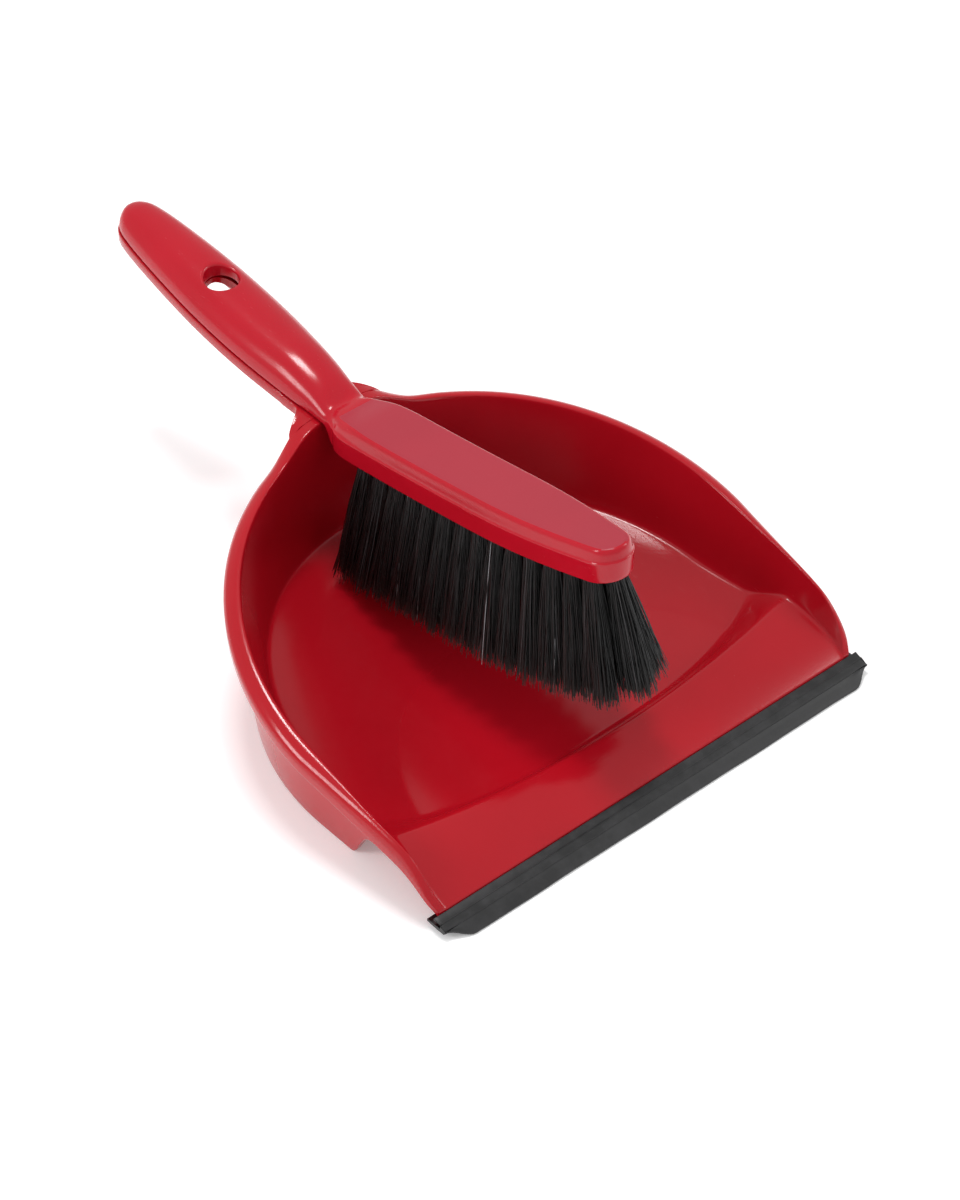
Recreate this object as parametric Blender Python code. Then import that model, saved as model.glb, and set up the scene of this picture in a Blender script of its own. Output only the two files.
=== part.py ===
"""Dust pan with a matching hand brush stored in it.

The pan stands on its skirt, +Z up, its mouth towards -Y and its handle towards +Y.
Lengths below are millimetres; scaled() turns them into metres when a mesh is made.
Shapes are worked out in a pan frame whose Y starts at the mouth's edge; the empty
"set_origin" moves that frame so that the world origin is the middle of the base.
"""

import math

import bmesh
import bpy
from mathutils import Vector

# ---- driving dimensions (mm) ----
PAN_WIDTH = 220.0  # across the rim at its widest
MOUTH_WIDTH = 205.0  # along the mouth's straight edge
SIDE_LENGTH = 70.0  # from the mouth's edge to the widest point of the rim
PAN_WALL = 2.2
MOUTH_HEIGHT = 6.0  # top of the mouth's edge above the ground
FLOOR_HEIGHT = 7.0  # top of the flat floor above the ground
RIM_BASE_HEIGHT = 18.3  # height at the mouth of the sloping plane that the rim lies in
RIM_SLOPE = 0.248
RIM_BREADTH = 6.4  # between the rim's inner and outer edge
RIM_CROWN = 3.4  # the inner edge stands this much above the outer one
RIM_LIP_DEPTH = 4.6  # the rim's outer edge turns down this far
SKIRT_DRAFT_SIDE = 4.6  # how far the skirt leans in on its way down to the ground
SKIRT_DRAFT_BACK = 0.8
SKIRT_DRAFT_HEIGHT = 34.0  # over which the skirt leans in by those drafts
FOOT_WIDTH = 3.2  # the flat foot under the skirt
FOOT_START_Y = 48.0
CORNER_FLARE = 2.2  # the rim just behind the mouth's corner stands this far outside it
CORNER_DRAW_IN = 2.4
CURL_LENGTH = 20.0  # over which the rim curls down to the mouth's corner

RAMP_RISE = 0.66  # slope of the ramp at the mouth
RAMP_FLATTENING = 0.0085  # how fast that slope falls off, per mm
RIDGE_MIDDLE_Y = 20.0
RIDGE_SIDE_Y = 29.5
RISER_FOOT_MIDDLE_Y = 30.5
RISER_FOOT_SIDE_Y = 49.0

FLAT_FLOOR_RADIUS = 79.5  # the arc that bounds the flat floor
FLAT_FLOOR_CENTRE_Y = 20.0
BACK_FLOOR_SLOPE = 0.19
WALL_LEAN_SIDE = 12.5  # between the rim's inner edge and the foot of the basin's wall
WALL_LEAN_BACK = 4.6

HANDLE_LENGTH = 117.7  # from the back of the neck to the tip
HANDLE_SLOPE = 0.165
NECK_RISE = 12.6  # the handles' seam stands this much above the rim's plane at the neck
NECK_OFFSET = 5.0  # from the back of the rim to the handle's root
FLANGE_LEDGE = 0.4  # how far the pan's handle shows beyond the brush's
NECK_STEP = 0.25  # the rim at the neck lies this far below the handle's top
NECK_FLARE = 10.0  # the fillets between the pan's handle and its rim
FLANGE_DEPTH = 4.4  # the turned-down edge of the pan's handle
PAN_RIB_HEIGHT = 6.0  # the rib on the pan's handle that the brush's handle sits over
SEAM_GAP = 0.3  # between the two handles
NEST_GAP = 0.7  # between the rib and the inside of the brush's handle

BRUSH_WALL = 2.4
BRUSH_HANDLE_WIDTH = 29.6  # at the palm swell
BRUSH_HANDLE_HEIGHT = 12.5
HEAD_LENGTH = 147.0
HEAD_WIDTH = 28.8
HEAD_THICKNESS = 14.6
HEAD_SLOPE = -0.115  # the head rises from its heel towards the mouth
HEAD_CURVE = 0.0003  # and a little faster towards its nose, per mm
HEAD_TILT = -0.15  # the slope that the bristles stand square to
NOSE_LENGTH = 62.0  # the stretch over which the head narrows to its nose
HANG_HOLE_RADIUS = 6.9
HANG_HOLE_FROM_TIP = 58.7
BOSS_WALL = 2.5

BRISTLE_LENGTH = 48.0
TUFT_HOLE_RADIUS = 2.0
TUFT_HOLE_DEPTH = 9.0
TUFT_GAP = 0.3
TUFT_PITCH = 9.0
TUFT_EDGE = 4.9  # from the head's outline to the outer ring of holes
INNER_ROW_X = 3.2
TUFT_TIP_ACROSS = 5.6  # half the tip's width across the head
TUFT_TIP_GAP = 1.0  # between the tips of neighbours along the head
TUFT_SIDES = 8
SPREAD_ACROSS = 2.05  # the tips stand this many times wider than the holes
SPREAD_ALONG = 1.13

LIP_OVERHANG = 3.0  # the rubber stands this far outside the mouth's corners
LIP_BAND = 6.3  # the band that grips the plastic, seen from above
LIP_FLAP = 5.4  # the soft flap in front of the band
LIP_FLAP_THICKNESS = 1.0
LIP_GAP = 0.3
LIP_TOP_THICKNESS = 0.8
LIP_END_INSET = 10.0  # the flap ends this far inside the band's ends
TONGUE_LENGTH = 3.4  # the plastic tongue inside the rubber

BACK_STEP_DEGREES = 5
MM = 0.001

# ---- sizes that follow ----
RIM_RADIUS = PAN_WIDTH / 2
MOUTH_HALF = MOUTH_WIDTH / 2
PAN_BACK_Y = SIDE_LENGTH + RIM_RADIUS
ROOT_Y = PAN_BACK_Y + NECK_OFFSET
TIP_Y = ROOT_Y + HANDLE_LENGTH
PAN_TIP_Y = TIP_Y + FLANGE_LEDGE
HOLE_Y = TIP_Y - HANG_HOLE_FROM_TIP
SEAM_ROOT_HEIGHT = RIM_BASE_HEIGHT + RIM_SLOPE * PAN_BACK_Y + NECK_RISE
HEAD_BACK_Y = ROOT_Y - 20.0
NOSE_Y = HEAD_BACK_Y - HEAD_LENGTH
HEAD_BACK_HEIGHT = SEAM_ROOT_HEIGHT - 8.2
TUFT_TIP_ALONG = (TUFT_PITCH * SPREAD_ALONG - TUFT_TIP_GAP) / 2
LIP_FRONT_Y = -(LIP_BAND + LIP_FLAP)
CENTRE_Y = (PAN_TIP_Y + LIP_FRONT_Y) / 2

RED = (0.72, 0.01, 0.02, 1.0)
BLACK_RUBBER = (0.02, 0.02, 0.022, 1.0)
BLACK_FILAMENT = (0.012, 0.012, 0.014, 1.0)


# ---- helpers ----
def scaled(point):
    return Vector(point) * MM


def smooth_step(low, high, value):
    share = min(max((value - low) / (high - low), 0.0), 1.0)
    return share * share * (3 - 2 * share)


def along(table, place):
    """Reads a list of (place, value) pairs, straight from one to the next."""
    if place <= table[0][0]:
        return table[0][1]
    for (low, before), (high, after) in zip(table, table[1:]):
        if place <= high:
            return before + (after - before) * (place - low) / (high - low)
    return table[-1][1]


def plastic(name, colour, roughness):
    material = bpy.data.materials.new(name)
    material.use_nodes = True
    shader = material.node_tree.nodes["Principled BSDF"]
    shader.inputs["Base Color"].default_value = colour
    shader.inputs["Roughness"].default_value = roughness
    shader.inputs["Metallic"].default_value = 0.0
    return material


def new_object(name, mesh_maker, parent, material=None):
    mesh = bpy.data.meshes.new(name)
    shape = bmesh.new()
    mesh_maker(shape)
    bmesh.ops.remove_doubles(shape, verts=shape.verts, dist=1e-7)
    shape.to_mesh(mesh)
    shape.free()
    mesh.shade_smooth()
    mesh.set_sharp_from_angle(angle=math.radians(35))
    item = bpy.data.objects.new(name, mesh)
    bpy.context.scene.collection.objects.link(item)
    item.parent = parent
    if material:
        mesh.materials.append(material)
    return item


def loft(shape, rings):
    """A closed solid through rings that hold the same number of points."""
    loops = [[shape.verts.new(scaled(point)) for point in ring] for ring in rings]
    count = len(loops[0])
    for near, far in zip(loops, loops[1:]):
        for i in range(count):
            j = (i + 1) % count
            shape.faces.new((near[i], near[j], far[j], far[i]))
    shape.faces.new(list(reversed(loops[0])))
    shape.faces.new(loops[-1])
    bmesh.ops.recalc_face_normals(shape, faces=shape.faces)


def helper_object(name, mesh_maker, parent):
    """A cutter or an addition that a Boolean reads; it isn't a part."""
    item = new_object(name, mesh_maker, parent)
    item.hide_render = True
    item.display_type = "WIRE"
    return item


def combine(item, other, operation):
    modifier = item.modifiers.new(f"{operation.lower()}_{other.name}", "BOOLEAN")
    modifier.operation = operation
    modifier.object = other
    modifier.solver = "EXACT"


def cylinder_rings(x, y, z_low, z_high, radius, sides=32):
    turns = [2 * math.pi * i / sides for i in range(sides)]
    return [
        [(x + radius * math.cos(t), y + radius * math.sin(t), z) for t in turns]
        for z in (z_low, z_high)
    ]


# ---- dust pan ----
def ramp_height(y):
    return MOUTH_HEIGHT + RAMP_RISE * y - RAMP_FLATTENING * y * y


def floor_height(x, y):
    beyond = math.hypot(x, y - FLAT_FLOOR_CENTRE_Y) - FLAT_FLOOR_RADIUS
    return FLOOR_HEIGHT + BACK_FLOOR_SLOPE * max(0.0, beyond)


def neck_share(x):
    """How much of the neck's rise the rim has at this distance from the middle."""
    return 1.0 - smooth_step(13.0, 36.0, abs(x))


def rim_outline(y):
    """Half the rim's width beside the basin's straight stretch."""
    spread = RIM_RADIUS - MOUTH_HALF - CORNER_FLARE
    corner = CORNER_DRAW_IN * (1.0 - smooth_step(-1.0, 5.0, y))
    return MOUTH_HALF + spread * min(y / SIDE_LENGTH, 1.0) + CORNER_FLARE - corner


def rim_breadth(y):
    """The rim narrows towards the mouth."""
    return RIM_BREADTH * along([(0.0, 0.4), (30.0, 0.47), (50.0, 0.74), (SIDE_LENGTH, 1.0)], y)


def rim_height(y):
    """The rim's outer edge: a sloping plane that curls down to the mouth's corner."""
    plane = RIM_BASE_HEIGHT + RIM_SLOPE * y
    if y < CURL_LENGTH:
        plane = MOUTH_HEIGHT + (plane - MOUTH_HEIGHT) * (1 - (1 - y / CURL_LENGTH) ** 2.4)
    return plane


def pan_top_height(x, y, plain):
    """Draws a plain height up to the pan handle's top as it nears the neck."""
    share = neck_share(x) if y > SIDE_LENGTH else 0.0
    return plain + (seam_height(y) - SEAM_GAP - NECK_STEP - plain) * share


def skirt_foot(y):
    """The skirt reaches the ground behind the ramp and stops at the ramp's underside beside it."""
    beside = [
        (0.0, 0.0), (2.3, 2.4), (6.0, 6.7), (11.0, 8.2), (19.0, 9.8), (28.0, 11.5), (35.0, 13.1),
    ]
    high = MOUTH_HEIGHT - PAN_WALL + along(beside, y)
    return high * (1.0 - smooth_step(FOOT_START_Y - 10.0, FOOT_START_Y, y))


def pan_section(rim_point, inward, floor_points, wall_foot, fullness):
    """One section through the pan, from the basin's middle out over the rim and back beneath.

    inward is the plan direction from the rim to the basin. fullness is 0 at the mouth's edge,
    where the wall and the rim have no height, and 1 where they have all of it.
    """
    x, y = rim_point
    breadth = rim_breadth(y)
    crown = RIM_CROWN * fullness
    edge = rim_height(y)

    def at(offset, z):
        px, py = x + inward[0] * offset, y + inward[1] * offset
        return (px, py, z)

    def top(share, rise):
        px, py, _ = at(breadth * share, 0.0)
        return (px, py, pan_top_height(px, py, edge + crown * rise))

    inner = top(1.0, 1.0)
    lean = math.dist((wall_foot[0], wall_foot[1]), (inner[0], inner[1]))
    wall_rise = inner[2] - wall_foot[2]
    wall = []
    for out, up in ((0.05, 0.015), (0.2, 0.1), (0.48, 0.4), (0.78, 0.75)):
        wall.append(at(breadth + lean * (1 - out), wall_foot[2] + wall_rise * up))
    rim = [inner, top(0.72, 0.96), top(0.4, 0.7), top(0.12, 0.25)]
    outer = pan_top_height(x, y, edge) - 0.7 * fullness
    rim.append(at(0.0, outer))

    bottom = skirt_foot(y)
    thin = 0.35 + 0.65 * fullness
    lip_low = max(outer - RIM_LIP_DEPTH * fullness, bottom) - PAN_WALL * (1 - fullness)
    under = max(lip_low, outer - PAN_WALL)
    skirt_out = breadth * 0.62
    drop = max(under - bottom, 0.0)
    draft = SKIRT_DRAFT_BACK + (SKIRT_DRAFT_SIDE - SKIRT_DRAFT_BACK) * abs(inward[0])
    foot_out = skirt_out + draft * drop / SKIRT_DRAFT_HEIGHT
    corner_out = breadth + lean - 0.68 * PAN_WALL * thin
    foot_width = min(FOOT_WIDTH, 0.72 * (corner_out - foot_out))
    corner = at(corner_out, wall_foot[2] - PAN_WALL)
    grounded = 1.0 - smooth_step(0.0, 6.0, bottom)
    foot_top_z = bottom + 3.0 * grounded + 0.2 * (corner[2] - bottom) * (1.0 - grounded)
    foot_top = at(foot_out + foot_width * (1.1 - 0.3 * grounded), foot_top_z)
    groove = smooth_step(0.0, 4.0, breadth + lean - foot_out - foot_width - PAN_WALL)
    groove *= 1.0 - smooth_step(0.5, 4.0, bottom)
    middle = [(one + two) / 2 for one, two in zip(foot_top, corner)]
    deep = at(breadth + lean * 0.27 - PAN_WALL * 0.6, wall_foot[2] + wall_rise * 0.5)
    apex = tuple(one + (two - one) * groove for one, two in zip(middle, deep))
    beneath = [
        at(0.15 * thin, lip_low),
        at(1.7 * thin * breadth / RIM_BREADTH, lip_low),
        at(1.9 * thin * breadth / RIM_BREADTH, under),
        at(skirt_out, under),
        at(skirt_out + (foot_out - skirt_out) * 0.5 + 0.05, under - drop * 0.5),
        at(foot_out + 0.1, bottom),
        at(foot_out + foot_width, bottom),
        foot_top,
        apex,
        corner,
    ]
    underside = [(px, py, pz - PAN_WALL) for px, py, pz in reversed(floor_points)]
    return floor_points + [wall_foot] + wall + rim + beneath + underside


def front_rows():
    """(middle y, side y, share of the fall from ramp to floor) of each row before the round back."""
    ramp = [(0.0, 0.0), (1.8, 2.0), (4.0, 4.8), (7.2, 9.2), (11.6, 15.6), (16.2, 23.0)]
    rows = [(middle, side, 0.0) for middle, side in ramp]
    riser = [(0.0, 0.0), (0.13, 0.06), (0.42, 0.42), (0.72, 0.8), (0.9, 0.96), (1.0, 1.0)]
    for share, fallen in riser:
        middle = RIDGE_MIDDLE_Y + (RISER_FOOT_MIDDLE_Y - RIDGE_MIDDLE_Y) * share
        side = RIDGE_SIDE_Y + (RISER_FOOT_SIDE_Y - RIDGE_SIDE_Y) * share
        rows.append((middle, side, fallen))
    steps = 4
    for i in range(1, steps):
        share = i / steps
        middle = RISER_FOOT_MIDDLE_Y + (SIDE_LENGTH - RISER_FOOT_MIDDLE_Y) * share
        side = RISER_FOOT_SIDE_Y + (SIDE_LENGTH - RISER_FOOT_SIDE_Y) * share
        rows.append((middle, side, 1.0))
    return rows


def row_height(fallen, x, y):
    side_share = (x / wall_foot_half(RIDGE_SIDE_Y)) ** 2
    ridge_y = RIDGE_MIDDLE_Y + (RIDGE_SIDE_Y - RIDGE_MIDDLE_Y) * side_share
    high = ramp_height(min(y, ridge_y))
    return high + (floor_height(x, y) - high) * fallen


def wall_foot_half(y):
    """Half the basin's width at the foot of its wall."""
    half = MOUTH_HALF - 2.6
    side = RIM_RADIUS - RIM_BREADTH - WALL_LEAN_SIDE
    return along([(0.0, half), (4.0, half), (28.0, half - 2.8), (SIDE_LENGTH, side)], y)


def front_section(middle_y, side_y, fallen):
    fullness = math.sqrt(smooth_step(-2.0, 16.0, side_y)) * min(1.0, 0.2 + side_y / 12.0)
    foot_x = wall_foot_half(side_y)
    power = 2.0 + fallen

    def row_y(x):
        return middle_y + (side_y - middle_y) * (x / foot_x) ** power

    corner_x = foot_x * 0.8
    if fallen == 1.0:
        for _ in range(6):
            beyond = row_y(corner_x) - FLAT_FLOOR_CENTRE_Y
            corner_x = math.sqrt(FLAT_FLOOR_RADIUS**2 - beyond * beyond)
    places = [corner_x * share for share in (0.0, 0.25, 0.5, 0.75, 1.0)]
    places += [corner_x + (foot_x - corner_x) * share for share in (0.45, 0.87)]
    points = [(x, row_y(x), row_height(fallen, x, row_y(x))) for x in places]
    wall_foot = (foot_x, side_y, row_height(fallen, foot_x, side_y) + 0.12)
    return pan_section((rim_outline(side_y), side_y), (-1.0, 0.0), points, wall_foot, fullness)


def back_section(degrees):
    """A straight section of the round back, from the middle of the basin out to the rim."""
    turn = math.radians(degrees)
    out = (math.cos(turn), math.sin(turn))
    lean = WALL_LEAN_SIDE + (WALL_LEAN_BACK - WALL_LEAN_SIDE) * math.sin(turn) ** 2
    foot_radius = RIM_RADIUS - RIM_BREADTH - lean

    def at(radius, lift=0.0):
        x = out[0] * radius
        y = SIDE_LENGTH + out[1] * radius
        return (x, y, floor_height(x, y) + lift)

    rise = SIDE_LENGTH - FLAT_FLOOR_CENTRE_Y
    slant = rise * out[1]
    edge = -slant + math.sqrt(slant * slant - rise * rise + FLAT_FLOOR_RADIUS**2)
    points = [at(edge * share) for share in (0.0, 0.25, 0.5, 0.75, 1.0)]
    points += [at(edge + (foot_radius - edge) * share) for share in (0.45, 0.94)]
    rim_point = (out[0] * RIM_RADIUS, SIDE_LENGTH + out[1] * RIM_RADIUS)
    return pan_section(rim_point, (-out[0], -out[1]), points, at(foot_radius, 0.12), 1.0)


def pan_shell(shape):
    """The basin, rim, skirt and foot as one closed wall."""
    angles = list(range(0, 70, BACK_STEP_DEGREES)) + list(range(70, 91, BACK_STEP_DEGREES // 2))
    sections = [front_section(*row) for row in front_rows()]
    sections += [back_section(angle) for angle in angles]
    for side in (1, -1):
        verts = [[shape.verts.new(scaled((side * x, y, z))) for x, y, z in s] for s in sections]
        for near, far in zip(verts, verts[1:]):
            for i in range(len(near) - 1):
                corners = (near[i], near[i + 1], far[i + 1], far[i])
                shape.faces.new(corners if side > 0 else corners[::-1])
        shape.faces.new(verts[0] if side < 0 else verts[0][::-1])
    bmesh.ops.remove_doubles(shape, verts=shape.verts, dist=1e-6)
    bmesh.ops.dissolve_degenerate(shape, edges=shape.edges, dist=1e-6)
    bmesh.ops.recalc_face_normals(shape, faces=shape.faces)


def handle_half_width(y):
    """Half the brush handle's width along its length, from the neck to the rounded tip."""
    swell = BRUSH_HANDLE_WIDTH / 2
    share = (y - ROOT_Y) / HANDLE_LENGTH
    shape = [
        (-0.12, 0.70), (-0.05, 0.74), (0.02, 0.82), (0.13, 0.90), (0.26, 0.975), (0.38, 1.0),
        (0.50, 0.985), (0.62, 0.93), (0.74, 0.85), (0.85, 0.755), (0.92, 0.665), (0.96, 0.55),
        (0.985, 0.37), (1.0, 0.14),
    ]
    return swell * along(shape, share)


def handle_height(y):
    share = (y - ROOT_Y) / HANDLE_LENGTH
    shape = [
        (-0.12, 0.55), (0.0, 0.86), (0.12, 1.0), (0.6, 1.0), (0.8, 0.94), (0.92, 0.84),
        (0.97, 0.68), (1.0, 0.42),
    ]
    return BRUSH_HANDLE_HEIGHT * along(shape, share)


def seam_height(y):
    """The underside of the brush's handle."""
    return SEAM_ROOT_HEIGHT + HANDLE_SLOPE * (y - ROOT_Y)


def pan_flange_half(y):
    """Half the width of the pan's handle, which flares into the rim at the neck."""
    flare = NECK_FLARE * (1 - smooth_step(0.0, 1.0, (y - PAN_BACK_Y + 3.0) / NECK_FLARE)) ** 1.5
    along_brush = (max(y, ROOT_Y) - ROOT_Y) * HANDLE_LENGTH / (HANDLE_LENGTH + FLANGE_LEDGE)
    return handle_half_width(ROOT_Y + along_brush) + FLANGE_LEDGE + flare


def pan_handle_stations():
    root = [PAN_BACK_Y - 3.5 + step for step in (0.0, 1.5, 3.0, 5.0, 7.5, 10.5, 14.0)]
    body = [ROOT_Y + 12.0 + i * 9.5 for i in range(10)]
    tip = [PAN_TIP_Y - step for step in (8.5, 6.0, 4.0, 2.4, 1.2, 0.4, 0.0)]
    return root + [y for y in body if y < TIP_Y - 11.0] + tip


def flange_profile(y, inset, drop):
    """A cross-section of the pan's handle: a flat flange with turned-down edges."""
    half = pan_flange_half(y) - inset
    top = seam_height(y) - SEAM_GAP - inset
    plain = RIM_BASE_HEIGHT + RIM_SLOPE * PAN_BACK_Y + RIM_CROWN * 0.2
    edge = min(top, pan_top_height(half, y, plain) - inset) if y < ROOT_Y + 8.0 else top
    low = edge - drop
    return [
        (-half, y, low), (-half, y, edge - 0.8), (-half * 0.95, y, edge), (-half * 0.6, y, top),
        (0.0, y, top), (half * 0.6, y, top), (half * 0.95, y, edge), (half, y, edge - 0.8),
        (half, y, low), (0.0, y, low),
    ]


def pan_handle_plate(shape):
    loft(shape, [flange_profile(y, 0.0, FLANGE_DEPTH) for y in pan_handle_stations()])


def pan_handle_hollow(shape):
    start = PAN_BACK_Y + 5.0
    end = PAN_TIP_Y - PAN_WALL - 1.5
    count = 12
    places = [start + (end - start) * i / count for i in range(count + 1)]
    loft(shape, [flange_profile(y, PAN_WALL, FLANGE_DEPTH + 6.0) for y in places])


def rib_half(y):
    return handle_half_width(y) - BRUSH_WALL - NEST_GAP


def arch(y, half, height, base, points=10):
    """A domed cross-section standing on base."""
    turns = [math.pi * i / points for i in range(points + 1)]
    return [(-half * math.cos(t), y, base + height * math.sin(t) ** 0.8) for t in turns]


def rib_stations(inset):
    start = ROOT_Y + 7.0 + inset
    end = TIP_Y - 12.0 - inset
    count = 9
    return [start + (end - start) * i / count for i in range(count + 1)]


def end_taper(y, start, end, length=7.0):
    near = min(max((y - start) / length, 0.0), 1.0)
    far = min(max((end - y) / length, 0.0), 1.0)
    return 0.35 + 0.65 * math.sqrt(min(near, far))


def pan_rib(shape):
    places = rib_stations(0.0)
    rings = []
    for y in places:
        taper = end_taper(y, places[0], places[-1])
        base = seam_height(y) - SEAM_GAP - 1.0
        rings.append(arch(y, rib_half(y), PAN_RIB_HEIGHT * taper + SEAM_GAP + 1.0, base))
    loft(shape, rings)


def pan_rib_hollow(shape):
    places = rib_stations(PAN_WALL)
    rings = []
    for y in places:
        taper = end_taper(y, places[0], places[-1])
        base = seam_height(y) - SEAM_GAP - 1.0 - PAN_WALL - 3.0
        height = PAN_RIB_HEIGHT * taper + SEAM_GAP + 4.0
        rings.append(arch(y, rib_half(y) - PAN_WALL, height, base))
    loft(shape, rings)


def hang_hole(shape):
    low = seam_height(HOLE_Y) - FLANGE_DEPTH - 10.0
    high = seam_height(HOLE_Y) + BRUSH_HANDLE_HEIGHT + 10.0
    loft(shape, cylinder_rings(0.0, HOLE_Y, low, high, HANG_HOLE_RADIUS))


def mouth_tongue(shape):
    """A thin tongue along the mouth's edge, which the rubber's channel grips."""
    high = MOUTH_HEIGHT - LIP_TOP_THICKNESS - LIP_GAP
    low = MOUTH_HEIGHT - PAN_WALL + 0.1
    half = MOUTH_HALF - 1.5
    rings = []
    for x in (-half, half):
        rings.append([
            (x, -TONGUE_LENGTH, low), (x, 1.0, low), (x, 1.0, high), (x, -TONGUE_LENGTH, high),
        ])
    loft(shape, rings)


def make_dustpan_body(origin, material):
    body = new_object("dustpan_body", pan_shell, origin, material)
    for name, maker in (("mouth_tongue", mouth_tongue), ("pan_handle_plate", pan_handle_plate)):
        combine(body, helper_object(name, maker, origin), "UNION")
    combine(body, helper_object("pan_handle_hollow", pan_handle_hollow, origin), "DIFFERENCE")
    combine(body, helper_object("pan_rib", pan_rib, origin), "UNION")
    combine(body, helper_object("pan_rib_hollow", pan_rib_hollow, origin), "DIFFERENCE")
    combine(body, helper_object("pan_hang_hole", hang_hole, origin), "DIFFERENCE")
    return body


# ---- rubber lip ----
def lip_profile(x):
    """The rubber's cross-section: a channel over the plastic tongue and a flap in front."""
    end = MOUTH_HALF + LIP_OVERHANG
    flap = 0.08 + 0.92 * smooth_step(0.0, LIP_END_INSET, end - abs(x) - 0.2)
    band_z = MOUTH_HEIGHT - 1.9
    tip_y = -LIP_BAND - LIP_FLAP * flap
    tip_z = band_z - (band_z - LIP_FLAP_THICKNESS) * flap
    channel_low = MOUTH_HEIGHT - PAN_WALL - LIP_GAP
    channel_high = MOUTH_HEIGHT - LIP_TOP_THICKNESS
    channel_front = -TONGUE_LENGTH - LIP_GAP
    return [
        (x, -LIP_GAP, MOUTH_HEIGHT),
        (x, -LIP_BAND, band_z),
        (x, tip_y, tip_z),
        (x, tip_y, tip_z - LIP_FLAP_THICKNESS),
        (x, tip_y + 1.6 * flap, tip_z - LIP_FLAP_THICKNESS),
        (x, -LIP_BAND + 0.6, band_z - 2.0),
        (x, 3.2, channel_low - 1.2),
        (x, 3.2, channel_low),
        (x, channel_front, channel_low),
        (x, channel_front, channel_high),
        (x, -LIP_GAP, channel_high),
    ]


def lip_stations():
    end = MOUTH_HALF + LIP_OVERHANG
    right = [end - step for step in (0.0, 1.0, 2.5, 4.0, 5.5, 7.0, 8.5, 10.0, 12.0)]
    middle = [right[-1] * share for share in (0.5, 0.0)]
    half = right + middle
    return [-x for x in half] + list(reversed(half[:-1]))


def lip_strip(shape):
    loft(shape, [lip_profile(x) for x in lip_stations()])


def make_rubber_lip(origin, material):
    return new_object("rubber_lip", lip_strip, origin, material)


# ---- brush ----
def head_half_width(y):
    """Half the head's width: full along its length, drawn in to a rounded nose and heel."""
    half = HEAD_WIDTH / 2
    from_nose = (y - NOSE_Y) / NOSE_LENGTH
    if from_nose < 1.0:
        half *= 0.60 + 0.40 * math.sin(0.5 * math.pi * max(from_nose, 0.0))
    nose_radius = 8.0
    into_nose = y - NOSE_Y
    if into_nose < nose_radius:
        half *= math.sqrt(max(1 - (1 - into_nose / nose_radius) ** 2, 0.0)) * 0.97 + 0.03
    heel = HEAD_BACK_Y - y
    heel_radius = 12.0
    if heel < heel_radius:
        narrow = handle_half_width(ROOT_Y - 12.0)
        share = math.sqrt(max(1 - (1 - max(heel, 0.0) / heel_radius) ** 2, 0.0))
        half = narrow + (half - narrow) * share
    return half


def head_bottom(y):
    behind = y - HEAD_BACK_Y
    return HEAD_BACK_HEIGHT + HEAD_SLOPE * behind + HEAD_CURVE * behind * behind


def head_section(y):
    """Upright side, a shoulder and a flat top."""
    half = head_half_width(y)
    low = head_bottom(y)
    nose = min(max((y - NOSE_Y) / 5.0, 0.0), 1.0)
    top = low + HEAD_THICKNESS * (0.62 + 0.38 * math.sqrt(nose))
    side = low + (top - low) * 0.58
    inner = half * 0.90
    return profile_ring(y, half, inner, low, side, top)


def profile_ring(y, half, inner, low, side, top):
    """Eighteen points: a base line, upright sides, a rounded shoulder and a crown."""
    right = [
        (half * 0.5, low), (half * 0.94, low), (half, low + 0.8), (half, side),
        (half * 0.985, side + (top - side) * 0.35), (inner, top - 0.9), (inner * 0.93, top - 0.15),
        (inner * 0.5, top),
    ]
    ring = [(0.0, y, low)] + [(x, y, z) for x, z in right] + [(0.0, y, top)]
    return ring + [(-x, y, z) for x, z in reversed(right)]


def dome_ring(y):
    """The handle's section, with as many points as the head's."""
    half = handle_half_width(y)
    low = seam_height(y)
    high = handle_height(y)
    right = [(half * 0.5, low), (half * 0.94, low), (half, low + 0.8)]
    for degrees in (14, 34, 54, 70, 82):
        turn = math.radians(degrees)
        right.append((half * math.cos(turn) ** 0.9, low + high * (0.12 + 0.88 * math.sin(turn))))
    ring = [(0.0, y, low)] + [(x, y, z) for x, z in right] + [(0.0, y, low + high)]
    return ring + [(-x, y, z) for x, z in reversed(right)]


def brush_rings():
    head = [NOSE_Y + step for step in (0.0, 0.5, 1.5, 3.0, 5.0, 8.0, 13.0, 20.0, 30.0, 42.0, 56.0)]
    head += [NOSE_Y + 76.0, NOSE_Y + 100.0, HEAD_BACK_Y - 26.0, HEAD_BACK_Y - 12.0]
    head += [HEAD_BACK_Y - step for step in (8.0, 5.0, 2.5, 1.0)]
    rings = [head_section(y) for y in head]
    handle = [ROOT_Y - 14.0, ROOT_Y - 9.0, ROOT_Y - 4.0]
    handle += [ROOT_Y + 2.0 + i * 9.0 for i in range(12)]
    handle = [y for y in handle if y < TIP_Y - 9.0]
    handle += [TIP_Y - step for step in (8.0, 4.8, 2.8, 1.2, 0.4, 0.0)]
    return rings + [dome_ring(y) for y in handle]


def brush_solid(shape):
    loft(shape, brush_rings())


def brush_hollow(shape):
    start = ROOT_Y + 6.0
    end = TIP_Y - 6.0
    count = 12
    rings = []
    for i in range(count + 1):
        y = start + (end - start) * i / count
        half = max(handle_half_width(y) - BRUSH_WALL, 2.0)
        height = handle_height(y) - BRUSH_WALL
        rings.append(arch(y, half, height + 2.0, seam_height(y) - 2.0))
    loft(shape, rings)


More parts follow.
